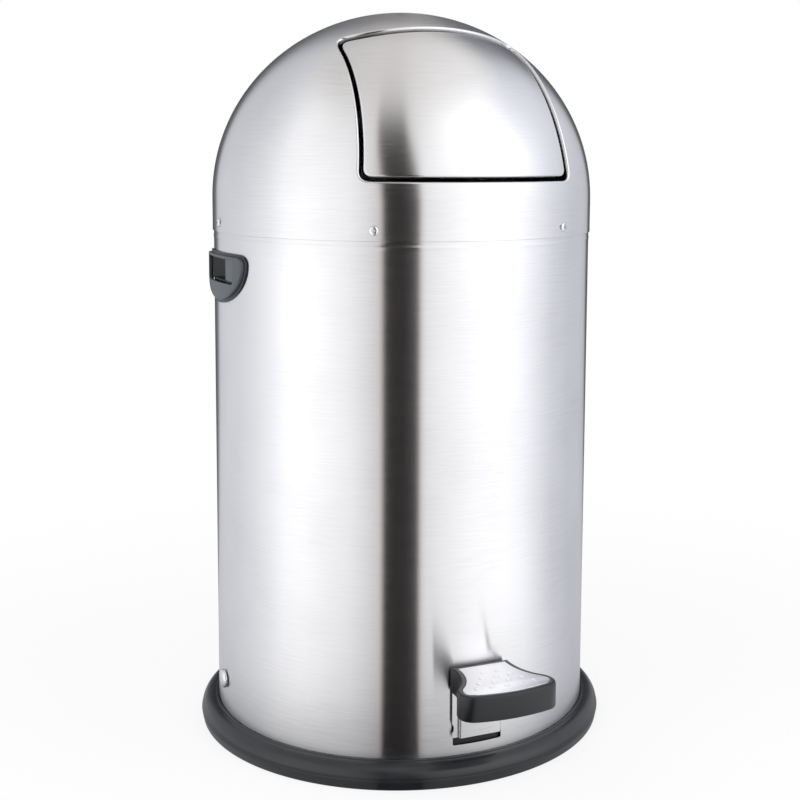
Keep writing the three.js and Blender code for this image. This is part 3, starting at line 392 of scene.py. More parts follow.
def net(points, rims, keep):
    """Triangles through points and along rims, closed lines of points. keep says whether a
    triangle whose middle is there stays. Rims come first in the result, in their order."""
    places, edges = [], []
    for rim in rims:
        first = len(places)
        places += rim
        edges += [(first + i, first + (i + 1) % len(rim)) for i in range(len(rim))]
    places += points
    verts, _, tris, origin, _, _ = delaunay_2d_cdt([Vector(p) for p in places], edges, [], 0, 1e-7, True)
    new = {old: i for i, olds in enumerate(origin) for old in olds}
    kept = []
    for tri in tris:
        middle = sum((verts[i] for i in tri), Vector((0, 0))) / 3
        if keep(tuple(middle)):
            kept.append(list(tri))
    rim_at, first = [], 0
    for rim in rims:
        rim_at.append([new[first + i] for i in range(len(rim))])
        first += len(rim)
    return [tuple(v) for v in verts], kept, rim_at


def walled(corners, normals, faces, thickness):
    """Gives an open skin a wall on its inner side. Returns corners, faces and the faces' normals."""
    count = len(corners)
    inner = [Vector(c) - Vector(n) * thickness for c, n in zip(corners, normals)]
    used = {}
    for face in faces:
        for a, b in zip(face, list(face[1:]) + [face[0]]):
            used[(a, b)] = used.get((a, b), 0) + 1
    out_faces = [list(f) for f in faces] + [[count + i for i in reversed(f)] for f in faces]
    out_normals = [[normals[i] for i in f] for f in faces]
    out_normals += [[-Vector(normals[i]) for i in reversed(f)] for f in faces]
    every = [Vector(c) for c in corners] + inner
    for a, b in used:
        if (b, a) in used:
            continue
        rim = [b, a, count + a, count + b]
        flat = (every[a] - every[b]).cross(every[count + a] - every[a]).normalized()
        out_faces.append(rim)
        out_normals.append([flat] * 4)
    return every, out_faces, out_normals


def facing(corners, normals, faces):
    """Turns each face to agree with its corners' normals."""
    for face in faces:
        a, b, c = (Vector(corners[i]) for i in face[:3])
        if (b - a).cross(c - a).dot(Vector(normals[face[0]]) + Vector(normals[face[1]])) < 0:
            face.reverse()
    return faces


# ------------------------------------------------------------------ drum

def bead_at(z):
    """How far the bead stands out at a height."""
    return BEAD_RISE * math.exp(-((z - BEAD_Z) / BEAD_HALF_W) ** 2)


def drum_radius(z):
    return DRUM_R - WALL_BACK + bead_at(z)


def drum_slope(z):
    """How fast the drum's radius grows with height."""
    return -2 * (z - BEAD_Z) / BEAD_HALF_W ** 2 * bead_at(z)


def rounded_box(x, half_w, low, high, r):
    """A rectangle with rounded corners round a middle line at x, anticlockwise."""
    return (arc(x + half_w - r, low + r, r, -90, 0, 5) + arc(x + half_w - r, high - r, r, 0, 90, 5)
            + arc(x - half_w + r, high - r, r, 90, 180, 5) + arc(x - half_w + r, low + r, r, 180, 270, 5))


def spread(loop, step):
    """Adds points so that no side of a closed line is longer than step."""
    out = []
    for a, b in zip(loop, loop[1:] + loop[:1]):
        count = max(1, math.ceil(math.dist(a, b) / step))
        out += [(a[0] + (b[0] - a[0]) * i / count, a[1] + (b[1] - a[1]) * i / count) for i in range(count)]
    return out


def make_drum():
    """The wall is drawn unrolled, from the back round to the back, then rolled up."""
    length = TAU * DRUM_R
    # Arc length 0 is the front, so that the unrolled sheet's ends meet at the back.
    slot = rounded_box(0.0, SLOT_HALF_W, SLOT_LOW_Z, SLOT_HIGH_Z, SLOT_CORNER)
    holes = [spread(slot, 5)]
    for side in (length / 4, -length / 4):
        window = rounded_box(side, POCKET_HALF_W + WINDOW_MARGIN, POCKET_LOW_Z - WINDOW_MARGIN,
                             POCKET_HIGH_Z + WINDOW_MARGIN, WINDOW_MARGIN)
        holes += [spread(window, 5), arc(side, AXLE_Z, AXLE_HOLE_R, 0, 345, 23)]
    rows = 24  # of the net, below FINE_FROM_Z and again above it
    heights = [DRUM_LOW_Z + (FINE_FROM_Z - DRUM_LOW_Z) * i / rows for i in range(rows + 1)]
    heights += [FINE_FROM_Z + (DRUM_TOP_Z - FINE_FROM_Z) * i / rows for i in range(1, rows + 1)]
    columns = [-length / 2 + length * i / AROUND for i in range(AROUND + 1)]
    grid = [(s, z) for s in columns for z in heights
            if not any(inside((s, z), h) or distance_to((s, z), h) < HOLE_CLEAR for h in near(holes, s))]
    flat, faces, _ = net(grid, holes, lambda p: not any(inside(p, h) for h in near(holes, p[0])))
    corners, normals = [], []
    for s, z in flat:
        turn = s / DRUM_R - math.pi / 2
        r, slope = drum_radius(z), drum_slope(z)
        corners.append((r * math.cos(turn), r * math.sin(turn), z))
        normals.append(Vector((math.cos(turn), math.sin(turn), -slope)).normalized())
    corners, normals, faces = welded(corners, normals, faces)
    body = walled(corners, normals, facing(corners, normals, faces), SHEET)
    return piece("drum", body[0], body[1], "body", STAINLESS, ["body_shell"], body[2])


def near(holes, s):
    """The holes whose middle lies within 60 mm along the sheet."""
    return [h for h in holes if abs(sum(p[0] for p in h) / len(h) - s) < 60]


def welded(corners, normals, faces):
    """Merges corners that share a place, as where a rolled sheet's ends meet."""
    place, new, out_c, out_n = {}, [], [], []
    for c, n in zip(corners, normals):
        key = tuple(round(v, 3) for v in c)
        if key not in place:
            place[key] = len(out_c)
            out_c.append(c)
            out_n.append(n)
        new.append(place[key])
    out_f = [list(dict.fromkeys(new[i] for i in f)) for f in faces]
    return out_c, out_n, [f for f in out_f if len(f) > 2]


# ------------------------------------------------------------------ dome and flap

def quadratic(a, b, c, steps):
    """Points on a curve from a to c that leaves towards b, without its first."""
    out = []
    for i in range(1, steps + 1):
        t = i / steps
        out.append(tuple((1 - t) ** 2 * p + 2 * t * (1 - t) * q + t * t * r for p, q, r in zip(a, b, c)))
    return out


def front_outline(side_gap, low_gap, top_gap, corner):
    """The feed opening or the flap from the front, in X and height above the dome's centre."""
    low = OPENING_LOW_Z + low_gap
    lean = math.sqrt(1 - (OPENING_TOP_Z / DOME_RISE) ** 2)
    crest = OPENING_TOP_Z - top_gap * lean

    def top_at(x):
        return crest - OPENING_TOP_BOW * (x / DOME_R) ** 2

    def side_at(z):
        return OPENING_HALF_W - side_gap - OPENING_TAPER * z

    top_x = side_at(crest)
    for _ in range(9):
        top_x = side_at(top_at(top_x))
    top_z = top_at(top_x)
    half = [(0, low)]
    half += [((side_at(low) - corner) * i / 16, low) for i in range(1, 17)]
    half += quadratic(half[-1], (side_at(low), low), (side_at(low + corner), low + corner), 8)
    start, end = low + corner, top_z - corner
    half += [(side_at(z), z) for z in [start + (end - start) * i / 20 for i in range(1, 21)]]
    reach = top_x - corner
    half += quadratic(half[-1], (top_x, top_z), (reach, top_at(reach)), 8)
    half += [(x, top_at(x)) for x in [reach * (1 - i / 16) for i in range(1, 17)]]
    return half + [(-x, z) for x, z in reversed(half[1:-1])]


def dome_normal(p, inset=0.0):
    """The outward direction at a place on the dome's face, or on one drawn in by inset."""
    r, h = DOME_R - inset, DOME_RISE - inset
    return Vector((p[0] / r ** 2, p[1] / r ** 2, p[2] / h ** 2)).normalized()


def on_dome(p, inset=0.0):
    """Moves a point along its ray from the dome's centre to the dome's face, or under it."""
    r, h = DOME_R - inset, DOME_RISE - inset
    scale = 1 / math.sqrt((p[0] ** 2 + p[1] ** 2) / r ** 2 + p[2] ** 2 / h ** 2)
    return Vector(p) * scale


def on_front(x, z, inset=0.0):
    """The place on the dome's front half that shows at x and z from the front."""
    depth = math.sqrt(max(1 - (x / DOME_R) ** 2 - (z / DOME_RISE) ** 2, 0))
    return on_dome((x, -DOME_R * depth, z), inset)


def to_disc(p, inset=0.0):
    """A place on the dome as a point on a flat disc: distance from the middle is the angle from
    the crown, in degrees."""
    lift = math.asin(max(-1.0, min(1.0, p[2] / (DOME_RISE - inset))))
    turn = math.atan2(p[1], p[0])
    away = 90 - math.degrees(lift)
    return (away * math.cos(turn), away * math.sin(turn))


def from_disc(q, inset=0.0):
    """The place on the dome that to_disc gives back as q."""
    lift = math.radians(90 - math.hypot(*q))
    turn = math.atan2(q[1], q[0])
    level = (DOME_R - inset) * math.cos(lift)
    return Vector((level * math.cos(turn), level * math.sin(turn), (DOME_RISE - inset) * math.sin(lift)))


def disc_grid():
    """Rings of points on the disc, from the crown out to the dome's widest line."""
    points = [(0.0, 0.0)]
    rings = round(90 / NET_STEP)
    for i in range(1, rings + 1):
        away = 90 * i / rings
        count = AROUND if i == rings else max(12, round(AROUND * away / 90))
        turns = [TAU * k / count for k in range(count)]
        points += [(away * math.cos(a), away * math.sin(a)) for a in turns]
    return points


def turned_edge(rim, outward, inset, radius, depth, steps=6):
    """Rows of corners and normals that turn a skin's edge down over a radius and on by a depth.
    rim is the line of the turned-down wall, and outward the side on which the skin lies."""
    rows = []
    count = len(rim)
    frames = []
    for i, p in enumerate(rim):
        normal = dome_normal(p, inset)
        along = (rim[(i + 1) % count] - rim[i - 1]).normalized()
        side = along.cross(normal).normalized() * outward
        frames.append((p, normal, side))
    for k in range(steps + 1):
        a = math.pi / 2 * k / steps
        row = []
        for p, normal, side in frames:
            start = p + side * radius
            row.append((start - normal * radius * (1 - math.cos(a)) - side * radius * math.sin(a),
                        (normal * math.cos(a) - side * math.sin(a)).normalized()))
        rows.append(row)
    rows.append([(c - f[1] * depth, n) for (c, n), f in zip(rows[-1], frames)])
    return rows


def skin_with_edge(rim, outward, inset, radius, depth):
    """A part of the dome's face joined to its turned-down edge: the part outside the rim where
    outward is 1, and inside it where outward is -1."""
    rows = turned_edge(rim, outward, inset, radius, depth)
    line = [to_disc(on_dome(c, inset), inset) for c, _ in rows[0]]

    def keep(p):
        return inside(p, line) == (outward < 0)

    grid = [p for p in disc_grid() if keep(p) and distance_to(p, line) > NET_GAP]
    flat, faces, (at,) = net(grid, [line], keep)
    corners = [from_disc(q, inset) for q in flat]
    normals = [dome_normal(c, inset) for c in corners]
    add_rows(corners, faces, at, [[c for c, _ in row] for row in rows[1:]])
    normals += [n for row in rows[1:] for _, n in row]
    return corners, normals, faces


def dome_piece(name, corners, normals, faces, thickness, node):
    """A piece of sheet whose corners are measured from the dome's centre."""
    skin = facing(corners, normals, faces)
    corners, faces, normals = walled(corners, normals, skin, thickness)
    raised = [(x, y, z + DOME_CENTRE_Z) for x, y, z in corners]
    return piece(name, raised, faces, name, STAINLESS, [node], normals)


def make_dome():
    """The dome with its feed opening, and a straight skirt down to a rounded lower edge."""
    rim = [on_front(x, z) for x, z in front_outline(0, 0, 0, OPENING_CORNER)]
    corners, normals, faces = skin_with_edge(rim, 1, 0.0, LIP_R, LIP_DEPTH)
    skirt = [i for i, c in enumerate(corners)
             if abs(c.z) < 0.01 and abs(math.hypot(c.x, c.y) - DOME_R) < 0.01]
    skirt.sort(key=lambda i: math.atan2(corners[i].y, corners[i].x))
    ways = [Vector((corners[i].x, corners[i].y, 0)).normalized() for i in skirt]
    edge_r, depth = 0.4, DOME_CENTRE_Z - DOME_EDGE_Z
    up = Vector((0, 0, 1))
    rows = [(0, depth * k / 4, 0) for k in range(1, 4)]
    for lean in [math.radians(a) for a in (0, 30, 60, 90)]:
        rows.append((edge_r * (1 - math.cos(lean)), depth - edge_r * (1 - math.sin(lean)), lean))
    add_rows(corners, faces, skirt, [[way * (DOME_R - inward) - up * down for way in ways]
                                     for inward, down, _ in rows])
    normals += [(way * math.cos(lean) - up * math.sin(lean)).normalized()
                for _, _, lean in rows for way in ways]
    return dome_piece("dome", corners, normals, faces, SHEET, "dome_shell")


def make_flap():
    """The swing-up flap: its face lies a little under the dome's, with a turned-in hem."""
    outline = front_outline(FLAP_GAP_SIDE, FLAP_GAP_LOW, FLAP_GAP_TOP, OPENING_CORNER - 2)
    rim = [on_front(x, z, FLAP_RECESS) for x, z in outline]
    skin = skin_with_edge(rim, -1, FLAP_RECESS, FLAP_EDGE_R, FLAP_HEM)
    return dome_piece("flap", *skin, FLAP_SHEET, "flap_shell")


# ------------------------------------------------------------------ base ring

def make_base_ring():
    """Moulded ring: a thin lip round the drum, a full shoulder, a crease and a foot tucked under."""
    step, lip_edge, bite, foot_edge, hollow = 0.8, 0.5, 0.5, 0.7, 4
    outer, inner = DRUM_R + 0.3, DRUM_R - SHEET - 0.4
    # The shoulder is a quarter of an ellipse, from just over the crease to just under the lip.
    side_r, side_z = RING_LIP_R + step, RING_CREASE_Z + bite
    wide, tall = RING_CREASE_R - bite - side_r, RING_TOP_Z - step - side_z
    profile = [(RING_INNER_R, 0), (inner + 3, 0), (inner + 4, hollow),
               (RING_FOOT_R - 4, hollow), (RING_FOOT_R - 3, 0)]
    profile += arc(RING_FOOT_R - foot_edge, foot_edge, foot_edge, -90, -10, 4)
    profile += [(RING_CREASE_R - 0.12, RING_CREASE_Z - 1.1), (RING_CREASE_R, RING_CREASE_Z - bite)]
    profile += [(side_r + wide * math.cos(a), side_z + tall * math.sin(a))
                for a in [math.radians(90 * i / 24) for i in range(25)]]
    profile += arc(RING_LIP_R - lip_edge, RING_TOP_Z - lip_edge, lip_edge, 0, 90, 4)
    profile += [(outer + 0.3, RING_TOP_Z), (outer, RING_TOP_Z - 0.3), (outer, RING_SEAT_Z),
                (inner, RING_SEAT_Z), (inner, RING_LEDGE_Z), (RING_INNER_R, RING_LEDGE_Z)]
    corners, faces = lathe(profile)
    return piece("base_ring_moulding", corners, faces, "body", RING_PP,
                 ["base_ring"], sharp=40)


# ------------------------------------------------------------------ pedal

def bezier(a, b, c, d, steps):
    """Points on a curve from a to d with handles b and c, without its first."""
    out = []
    for i in range(1, steps + 1):
        t = i / steps
        out.append(tuple((1 - t) ** 3 * p + 3 * t * (1 - t) ** 2 * q + 3 * t * t * (1 - t) * r + t ** 3 * s
                         for p, q, r, s in zip(a, b, c, d)))
    return out


def pad_outline(margin):
    """The pad from above, drawn in by a margin: narrow at the drum, full corners, a bowed front."""
    back, front = PAD_BACK_Y - margin, PAD_FRONT_Y + margin
    neck, shoulder, corner = 28.4 - margin, 42 - margin * 0.8, 48.5 - margin
    cheek, bow = -231 - margin * 0.6, 4
    waist = -222 - margin * 0.6
    nose = 35 - margin * 0.6
    half = [(neck, back)]
    half += bezier(half[-1], (neck - 1, -208), (neck + 5, waist), (shoulder, cheek), 14)
    half += bezier(half[-1], (corner, cheek - 7), (corner, front + 7), (nose, front + bow), 14)
    bows = quadratic((nose, front + bow), (0, front - bow), (-nose, front + bow), 16)
    half += bows[:7]
    return half + [bows[7]] + [(-x, y) for x, y in reversed(half)]


def stacked(levels):
    """Joins rings with equal counts of points, each a list of (x, y, z), into a closed solid."""
    corners, faces = list(levels[0]), []
    first = list(range(len(corners)))
    last = add_rows(corners, faces, first, levels[1:])
    return corners, faces + [first[::-1], last]


def bar_solid(name, loop, ends):
    """A solid bar along X between two ends. The loop is its (y, z) outline."""
    return outward_solid(name, *stacked([[(x, y, z) for y, z in loop] for x in ends]))


def at_height(loop, z):
    """A flat line of (x, y) points raised to a height."""
    return [(x, y, z) for x, y in loop]


def outward_solid(name, corners, faces):
    """A mesh in millimetres whose normals are made to point out."""
    mesh = placed_mesh(name, corners, faces)
    work = bmesh.new()
    work.from_mesh(mesh)
    bmesh.ops.remove_doubles(work, verts=work.verts, dist=1e-7)
    bmesh.ops.recalc_face_normals(work, faces=work.faces)
    work.to_mesh(mesh)
    work.free()
    return mesh


def combined(mesh, others, operation="DIFFERENCE"):
    """Cuts other meshes from a mesh, or joins them to it."""
    for other in others:
        host = bpy.data.objects.new("host", mesh)
        tool = bpy.data.objects.new("tool", other)
        for o in (host, tool):
            bpy.context.scene.collection.objects.link(o)
        step = host.modifiers.new("cut", "BOOLEAN")
        step.operation, step.solver, step.object = operation, "EXACT", tool
        mesh = bpy.data.meshes.new_from_object(host.evaluated_get(bpy.context.evaluated_depsgraph_get()))
        for o in (host, tool):
            bpy.data.objects.remove(o)
    return mesh


def together(meshes):
    """One mesh of several closed ones that keep their own surfaces."""
    work = bmesh.new()
    for mesh in meshes:
        work.from_mesh(mesh)
    made = bpy.data.meshes.new("together")
    work.to_mesh(made)
    work.free()
    return made


def box_mesh(x, y, z):
    """A block between two X, two Y and two Z values."""
    loop = [(x[0], y[0]), (x[1], y[0]), (x[1], y[1]), (x[0], y[1])]
    return outward_solid("block", *stacked([at_height(loop, z[0]), at_height(loop, z[1])]))


def channel(deep, start, end, section):
    """A folded channel of sheet with rounded bends. section places (across, deep, along)."""
    half_w, r = LEVER_HALF_W, LEVER_BEND_R
    w, q = half_w - LEVER_T, r - LEVER_T
    outer = arc(-half_w + r, -r, r, 180, 90, 5) + arc(half_w - r, -r, r, 90, 0, 5)
    inner = arc(w - q, -LEVER_T - q, q, 0, 90, 5) + arc(-w + q, -LEVER_T - q, q, 90, 180, 5)
    loop = [(-half_w, -deep)] + outer + [(half_w, -deep), (w, -deep)] + inner + [(-w, -deep)]
    return outward_solid("channel", *stacked([[section(x, d, t) for x, d in loop] for t in (start, end)]))


def make_lever():
    """Lever of folded sheet: a hat-shaped boot whose wings slide in front of the slot, a channel
    back to the axle with an ear on each side, and a tongue under the pad."""
    boot = channel(WING_BACK_Y - LEVER_FRONT_Y, BOOT_LOW_Z, TONGUE_Z - 0.2,
                   lambda x, d, t: (x, LEVER_FRONT_Y - d, t))
    beam = channel(BEAM_DEEP, BEAM_FRONT_Y, BEAM_BACK_Y, lambda x, d, t: (x, t, LEVER_TOP_Z + d))
    tongue = channel(TONGUE_DEEP, TONGUE_FRONT_Y, LEVER_FRONT_Y + 1.4,
                     lambda x, d, t: (x, t, TONGUE_Z + d))
    notch = [(NOTCH_DEEP * math.sqrt(max(0.0, 1 - (t / NOTCH_R) ** 2)), NOTCH_Z + t)
             for t in [NOTCH_R * (k / 6 - 1) for k in range(13)]]
    ear = [(-EAR_HALF_W, EAR_TOP_Z)] + arc(0, AXLE_Z, EAR_R, 215, 325, 12) + [(EAR_HALF_W, EAR_TOP_Z)]
    extras = []
    for side in (-1, 1):
        wing = [(LEVER_HALF_W - 1.0, BOOT_LOW_Z), (WING_HALF_W - 1.2, BOOT_LOW_Z),
                (WING_HALF_W, BOOT_LOW_Z + 1.2)]
        wing += [(WING_HALF_W - bite, z) for bite, z in notch]
        wing += [(WING_HALF_W, WING_TOP_Z), (LEVER_HALF_W - 1.0, WING_TOP_Z)]
        levels = [[(side * x, y, z) for x, z in wing] for y in (WING_FRONT_Y, WING_BACK_Y)]
        extras.append(outward_solid("wing", *stacked(levels)))
        extras.append(bar_solid("ear", ear, (side * LEVER_HALF_W, side * (LEVER_HALF_W - LEVER_T))))
    mesh = combined(boot, [beam, tongue] + extras, "UNION")
    bore = arc(0, AXLE_Z, AXLE_HOLE_R, 0, 345, 23)
    mesh = combined(mesh, [bar_solid("bore", bore, (-LEVER_HALF_W - 4, LEVER_HALF_W + 4))])
    return dressed("folded_lever", mesh, "pedal", STAINLESS,
                   ["pedal_lever"], sharp=30)


def make_slot_shield():
    """Black strip inside the drum behind the foot of the slot, which hides the pan."""
    r, thick, half_angle, low, high = DRUM_R - SHEET - 1.6, 1.2, 7.2, 27.0, 41.5
    loop = arc(0, 0, r, -90 - half_angle, -90 + half_angle, 12)
    loop += arc(0, 0, r - thick, -90 + half_angle, -90 - half_angle, 12)
    mesh = outward_solid("shield", *stacked([at_height(loop, low), at_height(loop, high)]))
    return dressed("slot_shield", mesh, "body", BLACK_ABS_AND_SHADE, sharp=30)


def make_pedal_pad():
    """Deep moulded cap: rounded top border, a tray for the tread plate, hollow beneath."""
    low, high = PAD_LOW_Z, PAD_TOP_Z
    # Each pair is how far the outline is drawn in, and its height: the hollow first, then the
    # lower edge, the wall, the rounded border and the tray.
    section = [(4, high - 4), (4, low + 0.6), (3.6, low), (2.2, low), (1.2, low), (0.35, low + 0.4),
               (0, low + 1.2), (0, high - 2.6), (0.2, high - 1.5), (0.75, high - 0.6),
               (1.6, high - 0.12), (2.4, high), (4.2, high), (4.5, high - 0.12), (4.6, high - 0.4),
               (4.6, high - 1.4)]
    levels = [at_height(pad_outline(m), z) for m, z in section]
    mesh = outward_solid("pedal_pad", *stacked(levels))
    throat = box_mesh((-LEVER_HALF_W - 1, LEVER_HALF_W + 1), (LEVER_FRONT_Y, PAD_BACK_Y + 9),
                      (low - 1, TONGUE_Z + 0.4))
    mesh = combined(mesh, [throat])
    return dressed("foot_pad", mesh, "pedal", BLACK_ABS_AND_SHADE, ["pedal_pad"], sharp=30)


def make_tread_plate():
    """Pressed sheet that lies in the pad's tray, with a softened edge."""
    low, high = PAD_TOP_Z - 1.0, PAD_TOP_Z + 0.25
    levels = [at_height(pad_outline(m), z) for m, z in
              ((5.0, low), (5.0, high - 0.5), (5.15, high - 0.15), (5.5, high))]
    mesh = outward_solid("tread", *stacked(levels))
    return dressed("tread_sheet", mesh, "pedal", TREAD, ["tread_plate"], sharp=30)


def stud_tree():
    """Geometry nodes: a flattened round stud on every point of the mesh."""
    tree = bpy.data.node_groups.new("embossed_studs", "GeometryNodeTree")
    face = tree.interface
    face.new_socket("Points", in_out="INPUT", socket_type="NodeSocketGeometry")
    for name in ("Stud radius", "Stud height"):
        face.new_socket(name, in_out="INPUT", socket_type="NodeSocketFloat")
    face.new_socket("Finish", in_out="INPUT", socket_type="NodeSocketMaterial")
    face.new_socket("Studs", in_out="OUTPUT", socket_type="NodeSocketGeometry")
    given = add(tree, "NodeGroupInput").outputs
    ball = add(tree, "GeometryNodeMeshUVSphere", {"Segments": 20, "Rings": 10, "Radius": 1.0})
    size = add(tree, "ShaderNodeCombineXYZ",
               {0: given["Stud radius"], 1: given["Stud radius"], 2: given["Stud height"]})
    placed = add(tree, "GeometryNodeInstanceOnPoints",
                 {"Points": given["Points"], "Instance": ball.outputs["Mesh"], "Scale": size.outputs[0]})
    real = add(tree, "GeometryNodeRealizeInstances", {0: placed.outputs[0]})
    coated = add(tree, "GeometryNodeSetMaterial",
                 {"Geometry": real.outputs[0], "Material": given["Finish"]})
    add(tree, "NodeGroupOutput", {0: coated.outputs[0]})
    return tree


def through_nodes(mesh, tree, inputs):
    """The plain mesh that a geometry nodes tree makes of a mesh."""
    host = bpy.data.objects.new("host", mesh)
    bpy.context.scene.collection.objects.link(host)
    step = host.modifiers.new("nodes", "NODES")
    step.node_group = tree
    sockets = {s.name: s.identifier for s in tree.interface.items_tree
               if s.item_type == "SOCKET" and s.in_out == "INPUT"}
    for name, value in inputs.items():
        step[sockets[name]] = value
    made = bpy.data.meshes.new_from_object(host.evaluated_get(bpy.context.evaluated_depsgraph_get()))
    host.modifiers.clear()
    bpy.data.objects.remove(host)
    return made


def make_studs():
    """Low round studs on the tread, in bowed rows that widen to the front."""
    points = []
    for y, count in STUD_ROWS:
        across = [(i - (count - 1) / 2) * STUD_PITCH for i in range(count)]
        points += [(x, y + abs(x) * STUD_BOW, PAD_TOP_Z + 0.2) for x in across]
    sizes = {"Stud radius": STUD_R * MM, "Stud height": STUD_H * MM, "Finish": TREAD}
    made = through_nodes(placed_mesh("stud_points", points, []), stud_tree(), sizes)
    return dressed("tread_studs", made, "pedal", TREAD)


# ------------------------------------------------------------------ screws and caps

def domed(r, rim_h, high, fullness, steps):
    """Outline of a round head from its rim up to its top. A low fullness makes full shoulders."""
    turns = [math.radians(90 * i / steps) for i in range(steps)]
    crown = [(r * math.cos(a) ** fullness, rim_h + (high - rim_h) * math.sin(a)) for a in turns]
    return crown + [(0, high)]


def screw_head():
    """Pan head with a cross recess, at the frame's origin, standing up from its seat."""
    sunk, rim_h, long_arm, narrow_arm = -0.6, 0.5, 2.3, 0.45
    profile = [(0, sunk), (SCREW_HEAD_R, sunk)] + domed(SCREW_HEAD_R, rim_h, SCREW_HEAD_H, 0.6, 8)
    corners, faces = lathe(profile, 40, closed=False)
    head = outward_solid("head", [(x, y - AXIS_Y, z) for x, y, z in corners], faces)
    # Each arm of the recess narrows as it goes down: shares of its length and width, and a height.
    section = ((0.55, 0.8, SCREW_HEAD_H - 1.3), (1, 1, SCREW_HEAD_H + 0.5))
    signs = ((-1, -1), (1, -1), (1, 1), (-1, 1))
    arms = []
    for x, y in ((long_arm, narrow_arm), (narrow_arm, long_arm)):
        levels = [[(sx * x * share_x, sy * y * share_y - AXIS_Y, z) for sx, sy in signs]
                  for share_x, share_y, z in section]
        arms.append(outward_solid("arm", *stacked(levels)))
    return combined(head, arms)


def screw_ring_tree():
    """Geometry nodes: copies of a part set out evenly on a level ring, each facing outward."""
    tree = bpy.data.node_groups.new("ring_of_screws", "GeometryNodeTree")
    face = tree.interface
    face.new_socket("Geometry", in_out="INPUT", socket_type="NodeSocketGeometry")
    face.new_socket("Part", in_out="INPUT", socket_type="NodeSocketObject")
    face.new_socket("Count", in_out="INPUT", socket_type="NodeSocketInt")
    for name in ("Ring radius", "Height", "Axis Y", "First angle"):
        face.new_socket(name, in_out="INPUT", socket_type="NodeSocketFloat")
    face.new_socket("Finish", in_out="INPUT", socket_type="NodeSocketMaterial")
    face.new_socket("Screws", in_out="OUTPUT", socket_type="NodeSocketGeometry")
    given = add(tree, "NodeGroupInput").outputs
    ring = add(tree, "GeometryNodeMeshCircle", {"Vertices": given["Count"], "Radius": given["Ring radius"]})
    place = add(tree, "ShaderNodeCombineXYZ", {1: given["Axis Y"], 2: given["Height"]})
    turn = add(tree, "ShaderNodeCombineXYZ", {2: given["First angle"]})
    index = add(tree, "GeometryNodeInputIndex")
    share = add(tree, "ShaderNodeMath", {0: TAU, 1: given["Count"]}, operation="DIVIDE")
    about = add(tree, "ShaderNodeMath", {0: index.outputs[0], 1: share.outputs[0]}, operation="MULTIPLY")
    lean = add(tree, "ShaderNodeCombineXYZ", {1: math.pi / 2, 2: about.outputs[0]})
    part = add(tree, "GeometryNodeObjectInfo", {"Object": given["Part"]})
    placed = add(tree, "GeometryNodeInstanceOnPoints",
                 {"Points": ring.outputs["Mesh"], "Instance": part.outputs["Geometry"],
                  "Rotation": lean.outputs[0]})
    real = add(tree, "GeometryNodeRealizeInstances", {0: placed.outputs[0]})
    moved = add(tree, "GeometryNodeTransform",
                {"Geometry": real.outputs[0], "Translation": place.outputs[0], "Rotation": turn.outputs[0]})
    coated = add(tree, "GeometryNodeSetMaterial",
                 {"Geometry": moved.outputs[0], "Material": given["Finish"]})
    add(tree, "NodeGroupOutput", {0: coated.outputs[0]})
    return tree


def make_screws():
    """The six screws round the dome's skirt. The first is on the right."""
    head = bpy.data.objects.new("screw_head", screw_head())
    bpy.context.scene.collection.objects.link(head)
    made = through_nodes(bpy.data.meshes.new("none"), screw_ring_tree(), {
        "Part": head, "Count": SCREW_COUNT, "Ring radius": (DOME_R + 0.1) * MM,
        "Height": SCREW_Z * MM, "Axis Y": AXIS_Y * MM, "First angle": 0.0, "Finish": BRIGHT})
    bpy.data.objects.remove(head)
    nodes = ["dome_screw_%d" % (i + 1) for i in range(SCREW_COUNT)]
    return dressed("dome_screws", made, "dome", BRIGHT, nodes, sharp=30)


def make_axle_cap(side, node):
    """Domed cap pressed over the axle's end."""
    profile = [(0, 0.2), (CAP_R - 0.3, 0.0), (CAP_R, 0.3)] + domed(CAP_R, CAP_RIM_H, CAP_H, 0.8, 12)
    corners, faces = lathe(profile, 64, closed=False)
    placed = [(side * (DRUM_R + 0.4 + z), x, AXLE_Z + y) for x, y, z in corners]
    mesh = outward_solid("cap", placed, faces)
    return dressed("domed_" + node, mesh, "body", BRIGHT, [node], sharp=40)


# ------------------------------------------------------------------ grips

def grip_outline():
    """Half an ellipse under a flat top band with rounded corners, anticlockwise."""
    flat = GRIP_HALF_W - GRIP_CORNER
    low = [(GRIP_HALF_W * math.cos(a), GRIP_MID_Z + GRIP_DROP * math.sin(a))
           for a in [math.pi + math.pi * i / 48 for i in range(49)]]
    right = quadratic(low[-1], (GRIP_HALF_W, GRIP_TOP_Z), (flat, GRIP_TOP_Z), 10)
    top = [(flat * (1 - 2 * i / 24), GRIP_TOP_Z) for i in range(1, 25)]
    left = quadratic(top[-1], (-GRIP_HALF_W, GRIP_TOP_Z), low[0], 10)
    return low + right + top + left[:-1]


def on_side(s, z, r):
    """A point whose Y is s, on a cylinder of radius r round the drum's axis."""
    return (math.sqrt(r * r - s * s), s, z)


def grip_mouth(grow=0.0):
    """The pocket's mouth, or a line that much outside it."""
    box = rounded_box(0, POCKET_HALF_W + grow, POCKET_LOW_Z - grow, POCKET_HIGH_Z + grow, POCKET_CORNER)
    return spread(box, 3)


